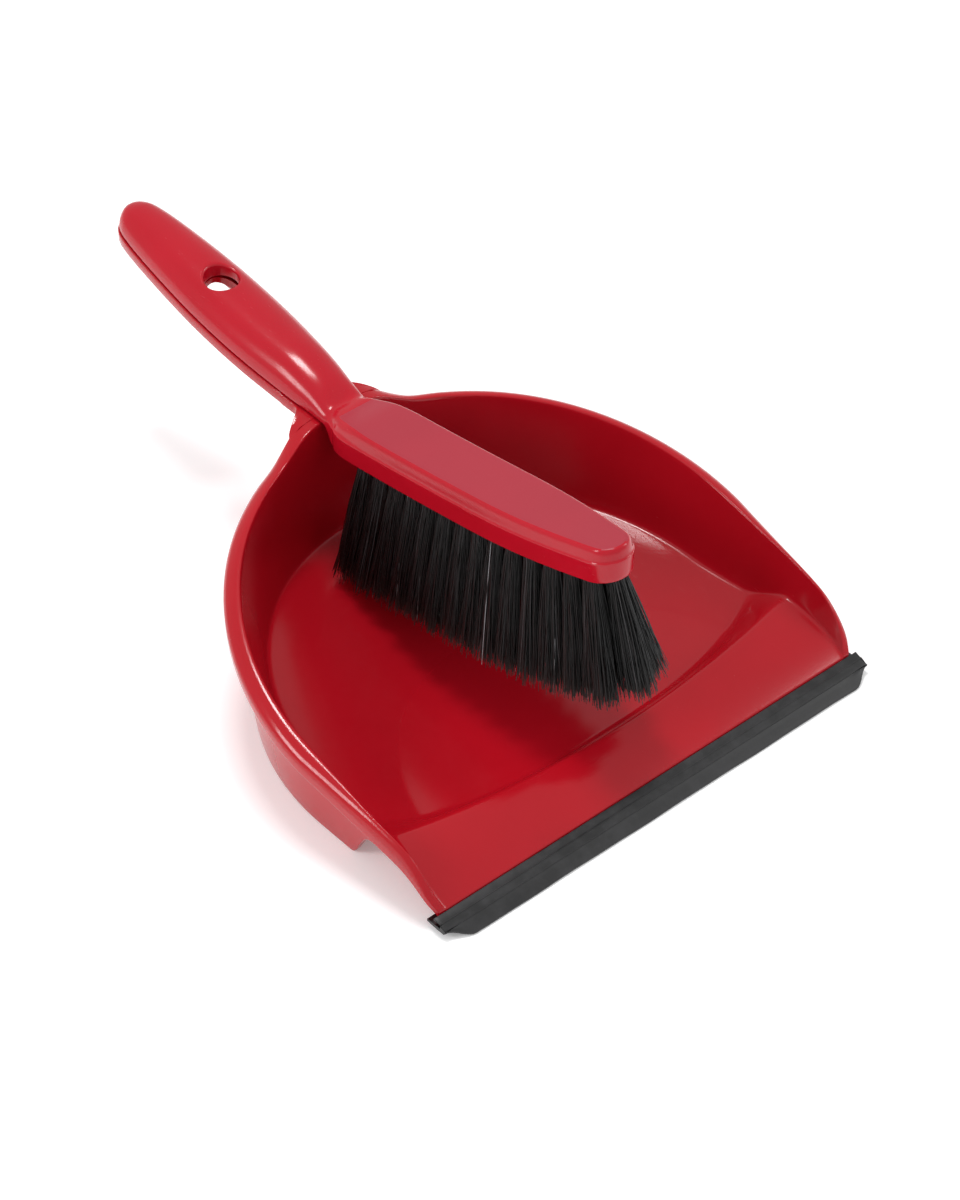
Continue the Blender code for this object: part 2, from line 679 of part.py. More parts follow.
def brush_boss(shape):
    """Where the hollow isn't cut, a tube stays round the hole down to just over the pan's rib."""
    low = PAN_RIB_HEIGHT + NEST_GAP
    high = BRUSH_HANDLE_HEIGHT + 10.0
    rings = cylinder_rings(0.0, HOLE_Y, low, high, HANG_HOLE_RADIUS + BOSS_WALL)
    loft(shape, [[(x, y, z + seam_height(y)) for x, y, z in ring] for ring in rings])


def tuft_places():
    """(x, y) of each tuft hole: a ring inside the head's outline, and rows inside the ring."""
    def ring_x(y):
        return head_half_width(y) - TUFT_EDGE

    nose_y = NOSE_Y + TUFT_EDGE + 1.0
    path = [(0.0, nose_y)]
    steps = 200
    heel_y = HEAD_BACK_Y - TUFT_EDGE - 5.0
    for i in range(1, steps + 1):
        y = nose_y + (heel_y - nose_y) * (i / steps) ** 1.6
        path.append((min(ring_x(y), 1.9 * math.sqrt(max(y - nose_y, 0.0) * 4.0)), y))
    places = [path[0]]
    walked = 0.0
    for before, after in zip(path, path[1:]):
        walked += math.dist(before, after)
        if walked >= TUFT_PITCH:
            walked -= TUFT_PITCH
            places.append(after)
    ring = [(side * x, y) for x, y in places for side in (1, -1) if side > 0 or x > 0.5]
    inner = []
    y = heel_y - TUFT_PITCH * 0.5
    while ring_x(y) > INNER_ROW_X + 2 * TUFT_HOLE_RADIUS + 1.4:
        inner += [(INNER_ROW_X, y), (-INNER_ROW_X, y)]
        y -= TUFT_PITCH
    while y > nose_y + TUFT_PITCH * 0.9:
        inner.append((0.0, y))
        y -= TUFT_PITCH
    return ring + inner


def head_frame():
    """Unit vectors along the head, towards its heel, and down out of its face."""
    heelward = Vector((0.0, 1.0, HEAD_TILT)).normalized()
    down = Vector((0.0, HEAD_TILT, -1.0)).normalized()
    return heelward, down


def tuft_mouth(x, y):
    """The middle of the tuft's hole on the head's face."""
    return Vector((x, y, head_bottom(y)))


def tuft_slant(x, y):
    """How far the tuft goes for each millimetre down from the face: it fans out to its tip."""
    heelward, down = head_frame()
    middle = (NOSE_Y + HEAD_BACK_Y) / 2
    across = Vector((x * (SPREAD_ACROSS - 1), 0.0, 0.0))
    fan = across + heelward * (y - middle) * (SPREAD_ALONG - 1)
    return down + fan / BRISTLE_LENGTH


def disc(x, y, depth, across, lengthways):
    """A ring round the tuft's slanted line, this far below the face, level with the face."""
    centre = tuft_mouth(x, y) + tuft_slant(x, y) * depth
    heelward = head_frame()[0]
    turns = [2 * math.pi * (i + 0.5) / TUFT_SIDES for i in range(TUFT_SIDES)]
    return [
        centre + Vector((across * math.cos(t), 0.0, 0.0)) + heelward * lengthways * math.sin(t)
        for t in turns
    ]


def tuft_holes(shape):
    for x, y in tuft_places():
        depths = (2.0, -TUFT_HOLE_DEPTH)
        loft(shape, [disc(x, y, depth, TUFT_HOLE_RADIUS, TUFT_HOLE_RADIUS) for depth in depths])


def tuft_ring(x, y, depth):
    """The tuft fills its hole at the face, and widens evenly from its root to its tip."""
    at_face = TUFT_HOLE_RADIUS - TUFT_GAP
    across = at_face + (TUFT_TIP_ACROSS - at_face) * depth / BRISTLE_LENGTH
    return disc(x, y, depth, across, across * TUFT_TIP_ALONG / TUFT_TIP_ACROSS)


def tuft_maker(x, y):
    def make(shape):
        loft(shape, [tuft_ring(x, y, TUFT_GAP - TUFT_HOLE_DEPTH), tuft_ring(x, y, BRISTLE_LENGTH)])

    return make


def make_brush_block(parent, origin, material):
    block = new_object("brush_block", brush_solid, parent, material)
    hollow = helper_object("brush_handle_hollow", brush_hollow, origin)
    combine(hollow, helper_object("brush_hang_boss", brush_boss, origin), "DIFFERENCE")
    combine(block, hollow, "DIFFERENCE")
    combine(block, helper_object("brush_hang_hole", hang_hole, origin), "DIFFERENCE")
    combine(block, helper_object("brush_tuft_holes", tuft_holes, origin), "DIFFERENCE")
    return block


def make_tufts(parent, material):
    in_order = sorted(tuft_places(), key=lambda place: (place[1], place[0]))
    for number, (x, y) in enumerate(in_order, 1):
        new_object(f"tuft_{number:02d}", tuft_maker(x, y), parent, material)


def main():
    for item in list(bpy.data.objects):
        bpy.data.objects.remove(item, do_unlink=True)
    origin = bpy.data.objects.new("set_origin", None)
    origin.location = (0.0, -CENTRE_Y * MM, 0.0)
    brush = bpy.data.objects.new("brush_lift_axis", None)
    brush.parent = origin
    for empty in (origin, brush):
        bpy.context.scene.collection.objects.link(empty)
    make_dustpan_body(origin, plastic("pan_red_polypropylene", RED, 0.25))
    make_rubber_lip(origin, plastic("black_rubber", BLACK_RUBBER, 0.6))
    make_brush_block(brush, origin, plastic("brush_red_polypropylene", RED, 0.3))
    make_tufts(brush, plastic("black_filament", BLACK_FILAMENT, 0.5))


main()
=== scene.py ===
# %% [markdown]
# # Dust pan and brush set
#
# A moulded red dust pan with a rubber mouth lip, and the hand brush that is stored in it.
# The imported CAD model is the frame: every piece below is built in its metres and its axes,
# stands for one or more of its nodes, and rides on one of its bodies.

# %% Load the frame
import math

import bmesh
import bpy
import numpy as np
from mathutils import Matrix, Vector


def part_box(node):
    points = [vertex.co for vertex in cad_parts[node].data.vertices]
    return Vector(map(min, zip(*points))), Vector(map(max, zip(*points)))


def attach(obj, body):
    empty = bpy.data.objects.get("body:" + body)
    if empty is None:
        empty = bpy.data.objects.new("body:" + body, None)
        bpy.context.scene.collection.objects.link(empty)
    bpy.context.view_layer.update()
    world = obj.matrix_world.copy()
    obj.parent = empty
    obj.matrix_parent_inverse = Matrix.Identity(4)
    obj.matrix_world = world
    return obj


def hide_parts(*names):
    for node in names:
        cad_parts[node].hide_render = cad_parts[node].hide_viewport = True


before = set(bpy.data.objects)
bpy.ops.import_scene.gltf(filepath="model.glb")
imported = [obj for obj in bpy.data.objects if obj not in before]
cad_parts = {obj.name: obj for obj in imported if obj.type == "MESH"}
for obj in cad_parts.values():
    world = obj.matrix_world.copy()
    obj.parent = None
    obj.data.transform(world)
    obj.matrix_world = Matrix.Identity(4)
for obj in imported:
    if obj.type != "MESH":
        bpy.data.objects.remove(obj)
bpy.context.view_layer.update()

# %% [markdown]
# ## Sizes
#
# The pan's formulas are written in millimetres, with Y counted from the mouth's straight edge.
# The frame puts its origin under the middle of the whole set, so one shift along Y turns the
# one into the other. The shift is read from the frame: the rubber lip reaches `LIP_REACH` in
# front of the mouth's edge.

# %% Driving sizes in millimetres
MM = 0.001
LIP_BAND = 6.3
LIP_FLAP = 5.4
LIP_REACH = LIP_BAND + LIP_FLAP
RIM_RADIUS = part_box("dustpan_body")[1].x / MM
MOUTH_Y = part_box("rubber_lip")[0].y / MM + LIP_REACH
MOUTH_HALF = 102.5
SIDE_LENGTH = 70.0
WALL = 2.2
MOUTH_HEIGHT = 6.0
FLOOR_HEIGHT = 7.0
RIM_BREADTH = 6.4
RIM_FRONT_HEIGHT = 18.3
RIM_SLOPE = 0.248
ARC_CENTRE_Y = 20.0
FLOOR_ARC = 79.5
PAN_BACK_Y = SIDE_LENGTH + RIM_RADIUS
ROOT_Y = PAN_BACK_Y + 5.0
HANDLE_LENGTH = 117.7
HANDLE_HALF_WIDTH = 14.8
HANDLE_THICKNESS = 12.5
LEDGE = 0.4
TIP_Y = ROOT_Y + HANDLE_LENGTH
PAN_TIP_Y = TIP_Y + LEDGE
HOLE_Y = TIP_Y - 58.7
HOLE_RADIUS = 6.9
SEAM_ROOT = 75.54
SEAM_SLOPE = 0.165
SEAM_GAP = 0.3
print("mouth edge at y =", round(MOUTH_Y, 2), "mm; handle tip at y =", round(MOUTH_Y + PAN_TIP_Y, 2))


# %% [markdown]
# ## Small helpers
#
# Blender works in metres and in linear light. One function turns a point of the formulas into
# the frame's metres, and one turns a colour written as sRGB hex into the linear values that a
# shader takes.

# %% Helpers for points, curves and colours
def place(point):
    x, y, z = point
    return Vector((x * MM, (y + MOUTH_Y) * MM, z * MM))


def smooth_step(low, high, value):
    share = min(max((value - low) / (high - low), 0.0), 1.0)
    return share * share * (3 - 2 * share)


def mix(one, two, share):
    return one + (two - one) * share


def along(table, at):
    """Reads (place, value) pairs as a smooth curve that never overshoots them."""
    xs = [pair[0] for pair in table]
    ys = [pair[1] for pair in table]
    if at <= xs[0]:
        return ys[0]
    if at >= xs[-1]:
        return ys[-1]
    steps = [(ys[i + 1] - ys[i]) / (xs[i + 1] - xs[i]) for i in range(len(xs) - 1)]
    slopes = [steps[0]]
    for before, after in zip(steps, steps[1:]):
        slopes.append(0.0 if before * after <= 0 else 2 * before * after / (before + after))
    slopes.append(steps[-1])
    i = max(k for k in range(len(xs) - 1) if xs[k] <= at)
    width = xs[i + 1] - xs[i]
    t = (at - xs[i]) / width
    start = (1 + 2 * t) * (1 - t) ** 2 * ys[i] + t * t * (3 - 2 * t) * ys[i + 1]
    return start + width * (t * (1 - t) ** 2 * slopes[i] + t * t * (t - 1) * slopes[i + 1])


def hex_colour(text, alpha=1.0):
    """sRGB hex, such as "#c8102e", as linear RGBA."""
    parts = [int(text[i:i + 2], 16) / 255 for i in (1, 3, 5)]
    linear = [c / 12.92 if c <= 0.04045 else ((c + 0.055) / 1.055) ** 2.4 for c in parts]
    return (*linear, alpha)


# %% Helpers for meshes
def mesh_object(name, verts, faces):
    """A mesh whose place is in its points, merged where points meet, facing outwards."""
    shape = bmesh.new()
    made = [shape.verts.new(place(point)) for point in verts]
    for face in faces:
        try:
            shape.faces.new([made[i] for i in face])
        except ValueError:
            continue
    bmesh.ops.remove_doubles(shape, verts=shape.verts, dist=2e-6)
    bmesh.ops.dissolve_degenerate(shape, edges=shape.edges, dist=1e-6)
    bmesh.ops.recalc_face_normals(shape, faces=shape.faces)
    mesh = bpy.data.meshes.new(name)
    shape.to_mesh(mesh)
    shape.free()
    mesh.shade_smooth()
    item = bpy.data.objects.new(name, mesh)
    bpy.context.scene.collection.objects.link(item)
    return item


def rings_object(name, rings, zipped_ends=False):
    """A closed solid through rings of equally many points.

    A zipped end joins each point to its mirror image, so that subdividing it can't dent it.
    """
    count = len(rings[0])
    verts = [point for ring in rings for point in ring]
    faces = []
    for r in range(len(rings) - 1):
        for i in range(count):
            j = (i + 1) % count
            faces.append((r * count + i, r * count + j, (r + 1) * count + j, (r + 1) * count + i))
    for base in (0, (len(rings) - 1) * count):
        if zipped_ends:
            half, far = count // 2, base + count
            faces += [(base, base + 1, far - 1)]
            faces += [(base + i, base + i + 1, far - i - 1, far - i) for i in range(1, half - 1)]
            faces += [(base + half - 1, base + half, base + half + 1)]
        else:
            faces.append(tuple(base + i for i in range(count)))
    return mesh_object(name, verts, faces)


def subdivide(item, levels):
    modifier = item.modifiers.new("smooth", "SUBSURF")
    modifier.levels = levels
    modifier.render_levels = levels
    modifier.boundary_smooth = "PRESERVE_CORNERS"
    return modifier


def cut(item, cutter, operation="DIFFERENCE"):
    modifier = item.modifiers.new(operation.lower(), "BOOLEAN")
    modifier.operation = operation
    modifier.object = cutter
    modifier.solver = "EXACT"


def apply_modifiers(item, *used_up):
    """Turns what the modifiers make into the object's own mesh, and removes the cutters."""
    graph = bpy.context.evaluated_depsgraph_get()
    mesh = bpy.data.meshes.new_from_object(item.evaluated_get(graph))
    mesh.name = item.name
    item.modifiers.clear()
    item.data = mesh
    for other in used_up:
        bpy.data.objects.remove(other, do_unlink=True)
    return item


def smooth_by_angle(item, degrees):
    item.data.shade_smooth()
    item.data.set_sharp_from_angle(angle=math.radians(degrees))


def finish_piece(item, body, slot, *nodes):
    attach(item, body)
    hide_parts(*nodes)
    item.data.calc_loop_triangles()
    print(f"{item.name}: {len(item.data.loop_triangles)} triangles on {body}")


# %% [markdown]
# ## Finishes
#
# Both red mouldings are polypropylene: a slightly waxy plastic (IOR 1.49) with a gloss that the
# mould's polish gives. Light enters it a little way, so thin edges glow. What keeps it from
# looking like paint is small: flow waves some 30 mm long that bend a reflection, a fine orange
# peel of about 1 mm, and hairline scuffs where things are swept in.

# %% One function adds a node
def add_node(tree, kind, links=(), inputs=(), **settings):
    """Adds a node, sets its settings and input values, and links (input, from socket) pairs."""
    node = tree.nodes.new(kind)
    for name, value in settings.items():
        setattr(node, name, value)
    for name, value in inputs:
        node.inputs[name].default_value = value
    for name, source in links:
        tree.links.new(source, node.inputs[name])
    return node


def new_material(name):
    material = bpy.data.materials.new(name)
    material.use_nodes = True
    tree = material.node_tree
    shader = tree.nodes["Principled BSDF"]
    place_of = add_node(tree, "ShaderNodeTexCoord").outputs["Object"]
    return material, tree, shader, place_of


def noise(tree, where, size_mm, detail=2.0, roughness=0.5, stretch=(1, 1, 1)):
    """Noise whose features are about size_mm across; stretch draws them out along an axis."""
    mapped = add_node(tree, "ShaderNodeMapping", links=[("Vector", where)])
    mapped.inputs["Scale"].default_value = [1 / s for s in stretch]
    return add_node(
        tree, "ShaderNodeTexNoise",
        links=[("Vector", mapped.outputs["Vector"])],
        inputs=[("Scale", 1 / (size_mm * MM)), ("Detail", detail), ("Roughness", roughness)],
    ).outputs["Fac"]


def remap(tree, value, low, high, to_low, to_high):
    node = add_node(
        tree, "ShaderNodeMapRange", links=[("Value", value)],
        inputs=[("From Min", low), ("From Max", high), ("To Min", to_low), ("To Max", to_high)],
    )
    return node.outputs["Result"]


def bump(tree, height, depth_mm, strength=1.0, below=None):
    links = [("Height", height)] + ([("Normal", below)] if below else [])
    node = add_node(
        tree, "ShaderNodeBump", links=links,
        inputs=[("Distance", depth_mm * MM), ("Strength", strength)],
    )
    return node.outputs["Normal"]


def mix_colour(tree, share, one, two):
    node = add_node(tree, "ShaderNodeMix", data_type="RGBA", links=[("Factor", share)])
    for socket, value in ((6, one), (7, two)):
        if isinstance(value, tuple):
            node.inputs[socket].default_value = value
        else:
            tree.links.new(value, node.inputs[socket])
    return node.outputs[2]


# %% Glossy moulded polypropylene, red
def moulded_red(name, base, deep, roughness):
    """High-gloss moulded polypropylene: flow waves, orange peel and a few hairline scuffs."""
    material, tree, shader, where = new_material(name)
    waves = noise(tree, where, 30.0, detail=1.0)
    peel = noise(tree, where, 1.3, detail=2.0)
    cloud = noise(tree, where, 45.0, detail=3.0)
    scuffs = noise(tree, where, 0.6, detail=2.0, stretch=(1, 30, 1))
    share = remap(tree, cloud, 0.3, 0.7, 0.0, 1.0)
    colour = mix_colour(tree, share, hex_colour(base), hex_colour(deep))
    tree.links.new(colour, shader.inputs["Base Color"])
    worn = remap(tree, scuffs, 0.62, 0.75, 0.0, 0.12)
    patchy = remap(tree, cloud, 0.3, 0.7, roughness * 0.85, roughness * 1.2)
    rough = add_node(tree, "ShaderNodeMath", operation="ADD", links=[(0, worn), (1, patchy)])
    tree.links.new(rough.outputs["Value"], shader.inputs["Roughness"])
    normal = bump(tree, waves, 0.12, 0.6)
    normal = bump(tree, peel, 0.006, 0.5, below=normal)
    tree.links.new(normal, shader.inputs["Normal"])
    shader.inputs["IOR"].default_value = 1.49
    shader.inputs["Specular IOR Level"].default_value = 0.4
    shader.inputs["Subsurface Weight"].default_value = 0.08
    shader.inputs["Subsurface Radius"].default_value = (0.004, 0.0008, 0.0006)
    shader.inputs["Subsurface Scale"].default_value = 0.6
    return material, tree, shader, where


pan_red = moulded_red("polypropylene_pan_gloss", "#b4101f", "#ab0d1b", 0.14)[0]
brush_red = moulded_red("polypropylene_brush_gloss", "#b81024", "#b00e20", 0.18)[0]


# %% Spark-eroded satin for the block's top
def satin_red():
    """The flat top of the block is left matt from a spark-eroded mould: a 0.4 mm grain."""
    material, tree, shader, where = new_material("polypropylene_brush_satin")
    grain = noise(tree, where, 0.45, detail=3.0)
    cloud = noise(tree, where, 35.0, detail=2.0)
    share = remap(tree, cloud, 0.3, 0.7, 0.0, 1.0)
    colour = mix_colour(tree, share, hex_colour("#a81a30"), hex_colour("#a3182e"))
    tree.links.new(colour, shader.inputs["Base Color"])
    tree.links.new(remap(tree, grain, 0.3, 0.7, 0.36, 0.46), shader.inputs["Roughness"])
    tree.links.new(bump(tree, grain, 0.03, 0.5), shader.inputs["Normal"])
    shader.inputs["IOR"].default_value = 1.49
    shader.inputs["Coat Weight"].default_value = 0.12
    shader.inputs["Coat Roughness"].default_value = 0.5
    return material


brush_satin = satin_red()


# %% Soft black rubber for the lip
def soft_rubber():
    """Extruded thermoplastic rubber: near black, dusty, with fine draw lines along its length."""
    material, tree, shader, where = new_material("extruded_soft_rubber")
    lines = noise(tree, where, 0.5, detail=2.0, stretch=(40, 1, 1))
    dust = noise(tree, where, 7.0, detail=5.0, roughness=0.65)
    specks = noise(tree, where, 0.9, detail=2.0)
    dusty = remap(tree, dust, 0.45, 0.75, 0.0, 0.35)
    colour = mix_colour(tree, dusty, hex_colour("#131314"), hex_colour("#3a393c"))
    tree.links.new(colour, shader.inputs["Base Color"])
    tree.links.new(remap(tree, dust, 0.3, 0.7, 0.32, 0.5), shader.inputs["Roughness"])
    normal = bump(tree, lines, 0.05, 0.5)
    normal = bump(tree, specks, 0.03, 0.4, below=normal)
    tree.links.new(normal, shader.inputs["Normal"])
    shader.inputs["IOR"].default_value = 1.52
    return material


lip_rubber = soft_rubber()


# %% Drawn synthetic filament for the bristles
def filament(name, root, tip, roughness):
    """Drawn polyester filament: black and slightly shiny, browner where it frays, a few paler.

    A real filament is about 0.3 mm thick. It is drawn 0.44 mm thick, so that it shows.
    """
    material, tree, shader, where = new_material(name)
    share = add_node(tree, "ShaderNodeAttribute", attribute_name="along_bristle").outputs["Fac"]
    tint = add_node(tree, "ShaderNodeAttribute", attribute_name="bristle_tint").outputs["Fac"]
    frayed = remap(tree, share, 0.82, 1.0, 0.0, 1.0)
    paler = remap(tree, tint, 0.93, 1.0, 0.0, 0.35)
    reach = add_node(tree, "ShaderNodeMath", operation="MULTIPLY", links=[(0, frayed), (1, tint)])
    colour = mix_colour(tree, reach.outputs["Value"], hex_colour(root), hex_colour(tip))
    colour = mix_colour(tree, paler, colour, hex_colour("#6a696c"))
    tree.links.new(colour, shader.inputs["Base Color"])
    varied = remap(tree, tint, 0.0, 1.0, roughness * 0.8, roughness * 1.2)
    tree.links.new(varied, shader.inputs["Roughness"])
    shader.inputs["IOR"].default_value = 1.55
    return material


bristle_black = filament("polyester_filament_black", "#070707", "#2c211b", 0.38)
bristle_grey = filament("polyester_filament_stray", "#a3a2a6", "#a89f98", 0.35)
print("materials:", [material.name for material in bpy.data.materials])

# %% [markdown]
# ## Dust pan
#
# The pan is one moulding, so it is one closed skin here. Sections run from the middle of the
# basin out over the rim, down the skirt to the foot, and back beneath the floor. In front they
# lie side by side, behind they fan round a half circle. A Subdivision Surface then rounds every
# bend a little, as a mould does, and keeps the reflections unbroken.


# %% Heights of the ramp, the floor, the rim and the handles' seam
def ramp_height(y):
    return MOUTH_HEIGHT + 0.66 * y - 0.0085 * y * y


def floor_height(x, y):
    """A flat floor inside the floor's arc, and a shallow cone outside it."""
    return FLOOR_HEIGHT + 0.19 * max(0.0, math.hypot(x, y - ARC_CENTRE_Y) - FLOOR_ARC)


def seam_height(y):
    return SEAM_ROOT + SEAM_SLOPE * (y - ROOT_Y)


def neck_share(x):
    return 1.0 - smooth_step(13.0, 36.0, abs(x))


def rim_outline(y):
    corner = 2.4 * (1.0 - smooth_step(-1.0, 5.0, y))
    return MOUTH_HALF + 2.2 + (RIM_RADIUS - MOUTH_HALF - 2.2) * min(y / SIDE_LENGTH, 1.0) - corner


def rim_breadth(y):
    return RIM_BREADTH * along([(0.0, 0.4), (30.0, 0.47), (50.0, 0.74), (SIDE_LENGTH, 1.0)], y)


def rim_height(y):
    plane = RIM_FRONT_HEIGHT + RIM_SLOPE * y
    if y < 20.0:
        plane = MOUTH_HEIGHT + (plane - MOUTH_HEIGHT) * (1 - (1 - y / 20.0) ** 2.4)
    return plane


def pan_top_height(x, y, plain):
    share = neck_share(x) if y > SIDE_LENGTH else 0.0
    return mix(plain, seam_height(y) - SEAM_GAP - 0.25, share)


def skirt_foot(y):
    beside = [
        (0.0, 0.0), (2.3, 2.4), (6.0, 6.7), (11.0, 8.2), (19.0, 9.8), (28.0, 11.5), (35.0, 13.1),
    ]
    return (MOUTH_HEIGHT - WALL + along(beside, y)) * (1.0 - smooth_step(38.0, 48.0, y))


# %% One section through the pan
def pan_section(rim_point, inward, floor_points, wall_foot, fullness):
    x, y = rim_point
    breadth = rim_breadth(y)
    crown = 3.4 * fullness
    edge = rim_height(y)

    def at(offset, z):
        return (x + inward[0] * offset, y + inward[1] * offset, z)

    def top(share, rise):
        px, py, _ = at(breadth * share, 0.0)
        return (px, py, pan_top_height(px, py, edge + crown * rise))

    inner = top(1.0, 0.93)
    lean = math.dist(wall_foot[:2], inner[:2])
    rise = inner[2] - wall_foot[2]
    climb = ((0.06, 0.012), (0.14, 0.05), (0.25, 0.14), (0.48, 0.4), (0.78, 0.74), (0.95, 0.95))
    wall = [at(breadth + lean * (1 - out), wall_foot[2] + rise * up) for out, up in climb]
    rim = [inner, top(0.88, 1.0), top(0.64, 0.94), top(0.36, 0.68), top(0.12, 0.3)]
    outer = pan_top_height(x, y, edge) - 0.5 * fullness
    rim += [at(0.0, outer), at(0.02, outer - 1.2 * fullness)]

    bottom = skirt_foot(y)
    thin = 0.35 + 0.65 * fullness
    lip_low = max(outer - 4.6 * fullness, bottom) - WALL * (1 - fullness)
    under = max(lip_low, outer - WALL)
    skirt_out = breadth * 0.62
    drop = max(under - bottom, 0.0)
    foot_out = skirt_out + mix(0.8, 4.6, abs(inward[0])) * drop / 34.0
    corner_out = breadth + lean - 0.68 * WALL * thin
    foot_width = min(3.2, 0.72 * (corner_out - foot_out))
    corner = at(corner_out, wall_foot[2] - WALL)
    grounded = 1.0 - smooth_step(0.0, 3.0, bottom)
    foot_top_z = bottom + 3.0 * grounded + 0.2 * (corner[2] - bottom) * (1.0 - grounded)
    foot_top = at(foot_out + foot_width * (1.1 - 0.3 * grounded), foot_top_z)
    groove = smooth_step(0.0, 4.0, breadth + lean - foot_out - foot_width - WALL)
    groove *= 1.0 - smooth_step(0.5, 4.0, bottom)
    middle = [(one + two) / 2 for one, two in zip(foot_top, corner)]
    deep = at(breadth + lean * 0.27 - WALL * 0.6, wall_foot[2] + rise * 0.5)
    apex = tuple(mix(one, two, groove) for one, two in zip(middle, deep))
    lip = thin * breadth / RIM_BREADTH
    beneath = [
        at(0.1 * thin, lip_low + 0.5 * fullness),
        at(0.35 * thin, lip_low),
        at(1.6 * lip, lip_low),
        at(1.9 * lip, mix(lip_low, under, 0.9)),
        at(2.1 * lip, under),
        at(skirt_out, under),
        at(mix(skirt_out, foot_out, 0.1), under - drop * 0.1),
        at(mix(skirt_out, foot_out, 0.5), under - drop * 0.5),
        at(foot_out, bottom + min(0.8, drop * 0.1)),
        at(foot_out + 0.15, bottom),
        at(foot_out + foot_width, bottom),
        foot_top,
        apex,
        corner,
    ]
    underside = [(px, py, pz - WALL) for px, py, pz in reversed(floor_points)]
    return floor_points + [wall_foot] + wall + rim + beneath + underside


# %% Sections in front and round the back
def wall_foot_half(y):
    half = MOUTH_HALF - 2.6
    table = [
        (0.0, half - 0.7), (4.0, half - 0.1), (28.0, half - 2.8), (SIDE_LENGTH, RIM_RADIUS - 18.9),
    ]
    return along(table, y)


def front_rows():
    """(middle y, side y, share of the fall from the ramp to the floor) of each row."""
    ramp = ((0, 0), (0.7, 0.7), (1.8, 2.0), (4.0, 4.8), (7.2, 9.2), (11.6, 15.6), (16.0, 22.6))
    rows = [(m, s, 0.0) for m, s in ramp]
    fall = (
        (-0.12, 0.0), (0.0, 0.0), (0.12, 0.07), (0.4, 0.4),
        (0.7, 0.8), (0.88, 0.965), (0.99, 1.0), (1.1, 1.0),
    )
    for share, fallen in fall:
        rows.append((mix(20.0, 30.5, share), mix(29.5, 49.0, share), fallen))
    for share in (0.25, 0.5, 0.75):
        rows.append((mix(30.5, SIDE_LENGTH, share), mix(49.0, SIDE_LENGTH, share), 1.0))
    return rows


def front_section(middle_y, side_y, fallen):
    fullness = math.sqrt(smooth_step(-2.0, 16.0, side_y)) * min(1.0, 0.2 + side_y / 12.0)
    foot_x = wall_foot_half(side_y)

    def row_y(x):
        return mix(middle_y, side_y, (x / foot_x) ** (2.0 + fallen))

    def row_z(x):
        ridge_y = mix(20.0, 29.5, (x / wall_foot_half(29.5)) ** 2)
        return mix(ramp_height(min(row_y(x), ridge_y)), floor_height(x, row_y(x)), fallen)

    corner_x = foot_x * 0.8
    if fallen == 1.0:
        for _ in range(6):
            corner_x = math.sqrt(FLOOR_ARC**2 - (row_y(corner_x) - ARC_CENTRE_Y) ** 2)
    places = [corner_x * share for share in (0.0, 0.25, 0.5, 0.75, 0.95, 1.0, 1.03)]
    places += [mix(corner_x, foot_x, share) for share in (0.5, 0.9, 0.97)]
    points = [(x, row_y(x), row_z(x)) for x in places]
    wall_foot = (foot_x, side_y, row_z(foot_x) + 0.12)
    return pan_section((rim_outline(side_y), side_y), (-1.0, 0.0), points, wall_foot, fullness)


def back_section(degrees):
    turn = math.radians(degrees)
    out = (math.cos(turn), math.sin(turn))
    lean = mix(12.5, 4.6, math.sin(turn) ** 2)
    foot_radius = RIM_RADIUS - RIM_BREADTH - lean

    def at(radius, lift=0.0):
        x, y = out[0] * radius, SIDE_LENGTH + out[1] * radius
        return (x, y, floor_height(x, y) + lift)

    behind = SIDE_LENGTH - ARC_CENTRE_Y
    slant = behind * out[1]
    edge = -slant + math.sqrt(slant * slant - behind**2 + FLOOR_ARC**2)
    points = [at(edge * share) for share in (0.0, 0.25, 0.5, 0.75, 0.95, 1.0, 1.03)]
    points += [at(mix(edge, foot_radius, share)) for share in (0.5, 0.9, 0.98)]
    rim_point = (out[0] * RIM_RADIUS, SIDE_LENGTH + out[1] * RIM_RADIUS)
    return pan_section(rim_point, (-out[0], -out[1]), points, at(foot_radius, 0.12), 1.0)


# %% The pan's skin
def build_pan_shell():
    angles = [i * 5 for i in range(14)] + [67.5 + i * 2.5 for i in range(10)]
    sections = [front_section(*row) for row in front_rows()] + [back_section(a) for a in angles]
    count = len(sections[0])
    verts, faces = [], []
    for side in (1, -1):
        base = len(verts)
        verts += [(side * x, y, z) for section in sections for x, y, z in section]
        for r in range(len(sections) - 1):
            for i in range(count - 1):
                a = base + r * count + i
                quad = (a, a + 1, a + count + 1, a + count)
                faces.append(quad if side > 0 else quad[::-1])
    # The mouth's front edge: a strip of quads, and one face at the corner.
    strip = 10
    for base, side in ((0, 1), (len(sections) * count, -1)):
        for i in range(strip):
            quad = (base + i, base + count - 1 - i, base + count - 2 - i, base + i + 1)
            faces.append(quad if side > 0 else quad[::-1])
        corner = tuple(base + i for i in range(strip, count - strip))
        faces.append(corner[::-1] if side > 0 else corner)
    shell = mesh_object("pan_shell", verts, faces)
    subdivide(shell, 2)
    return shell


pan_shell = apply_modifiers(build_pan_shell())
print("pan shell:", len(pan_shell.data.polygons), "faces from", len(front_rows()), "front rows")

# %% [markdown]
# ### The pan's handle
#
# Behind the neck the pan has its own handle: a flat plate with a turned-down edge, and along
# its middle a rib that the brush's handle sits over. The plate and the rib are lofted through
# sections, joined to the shell, and hollowed from below, as the real moulding is cored out.


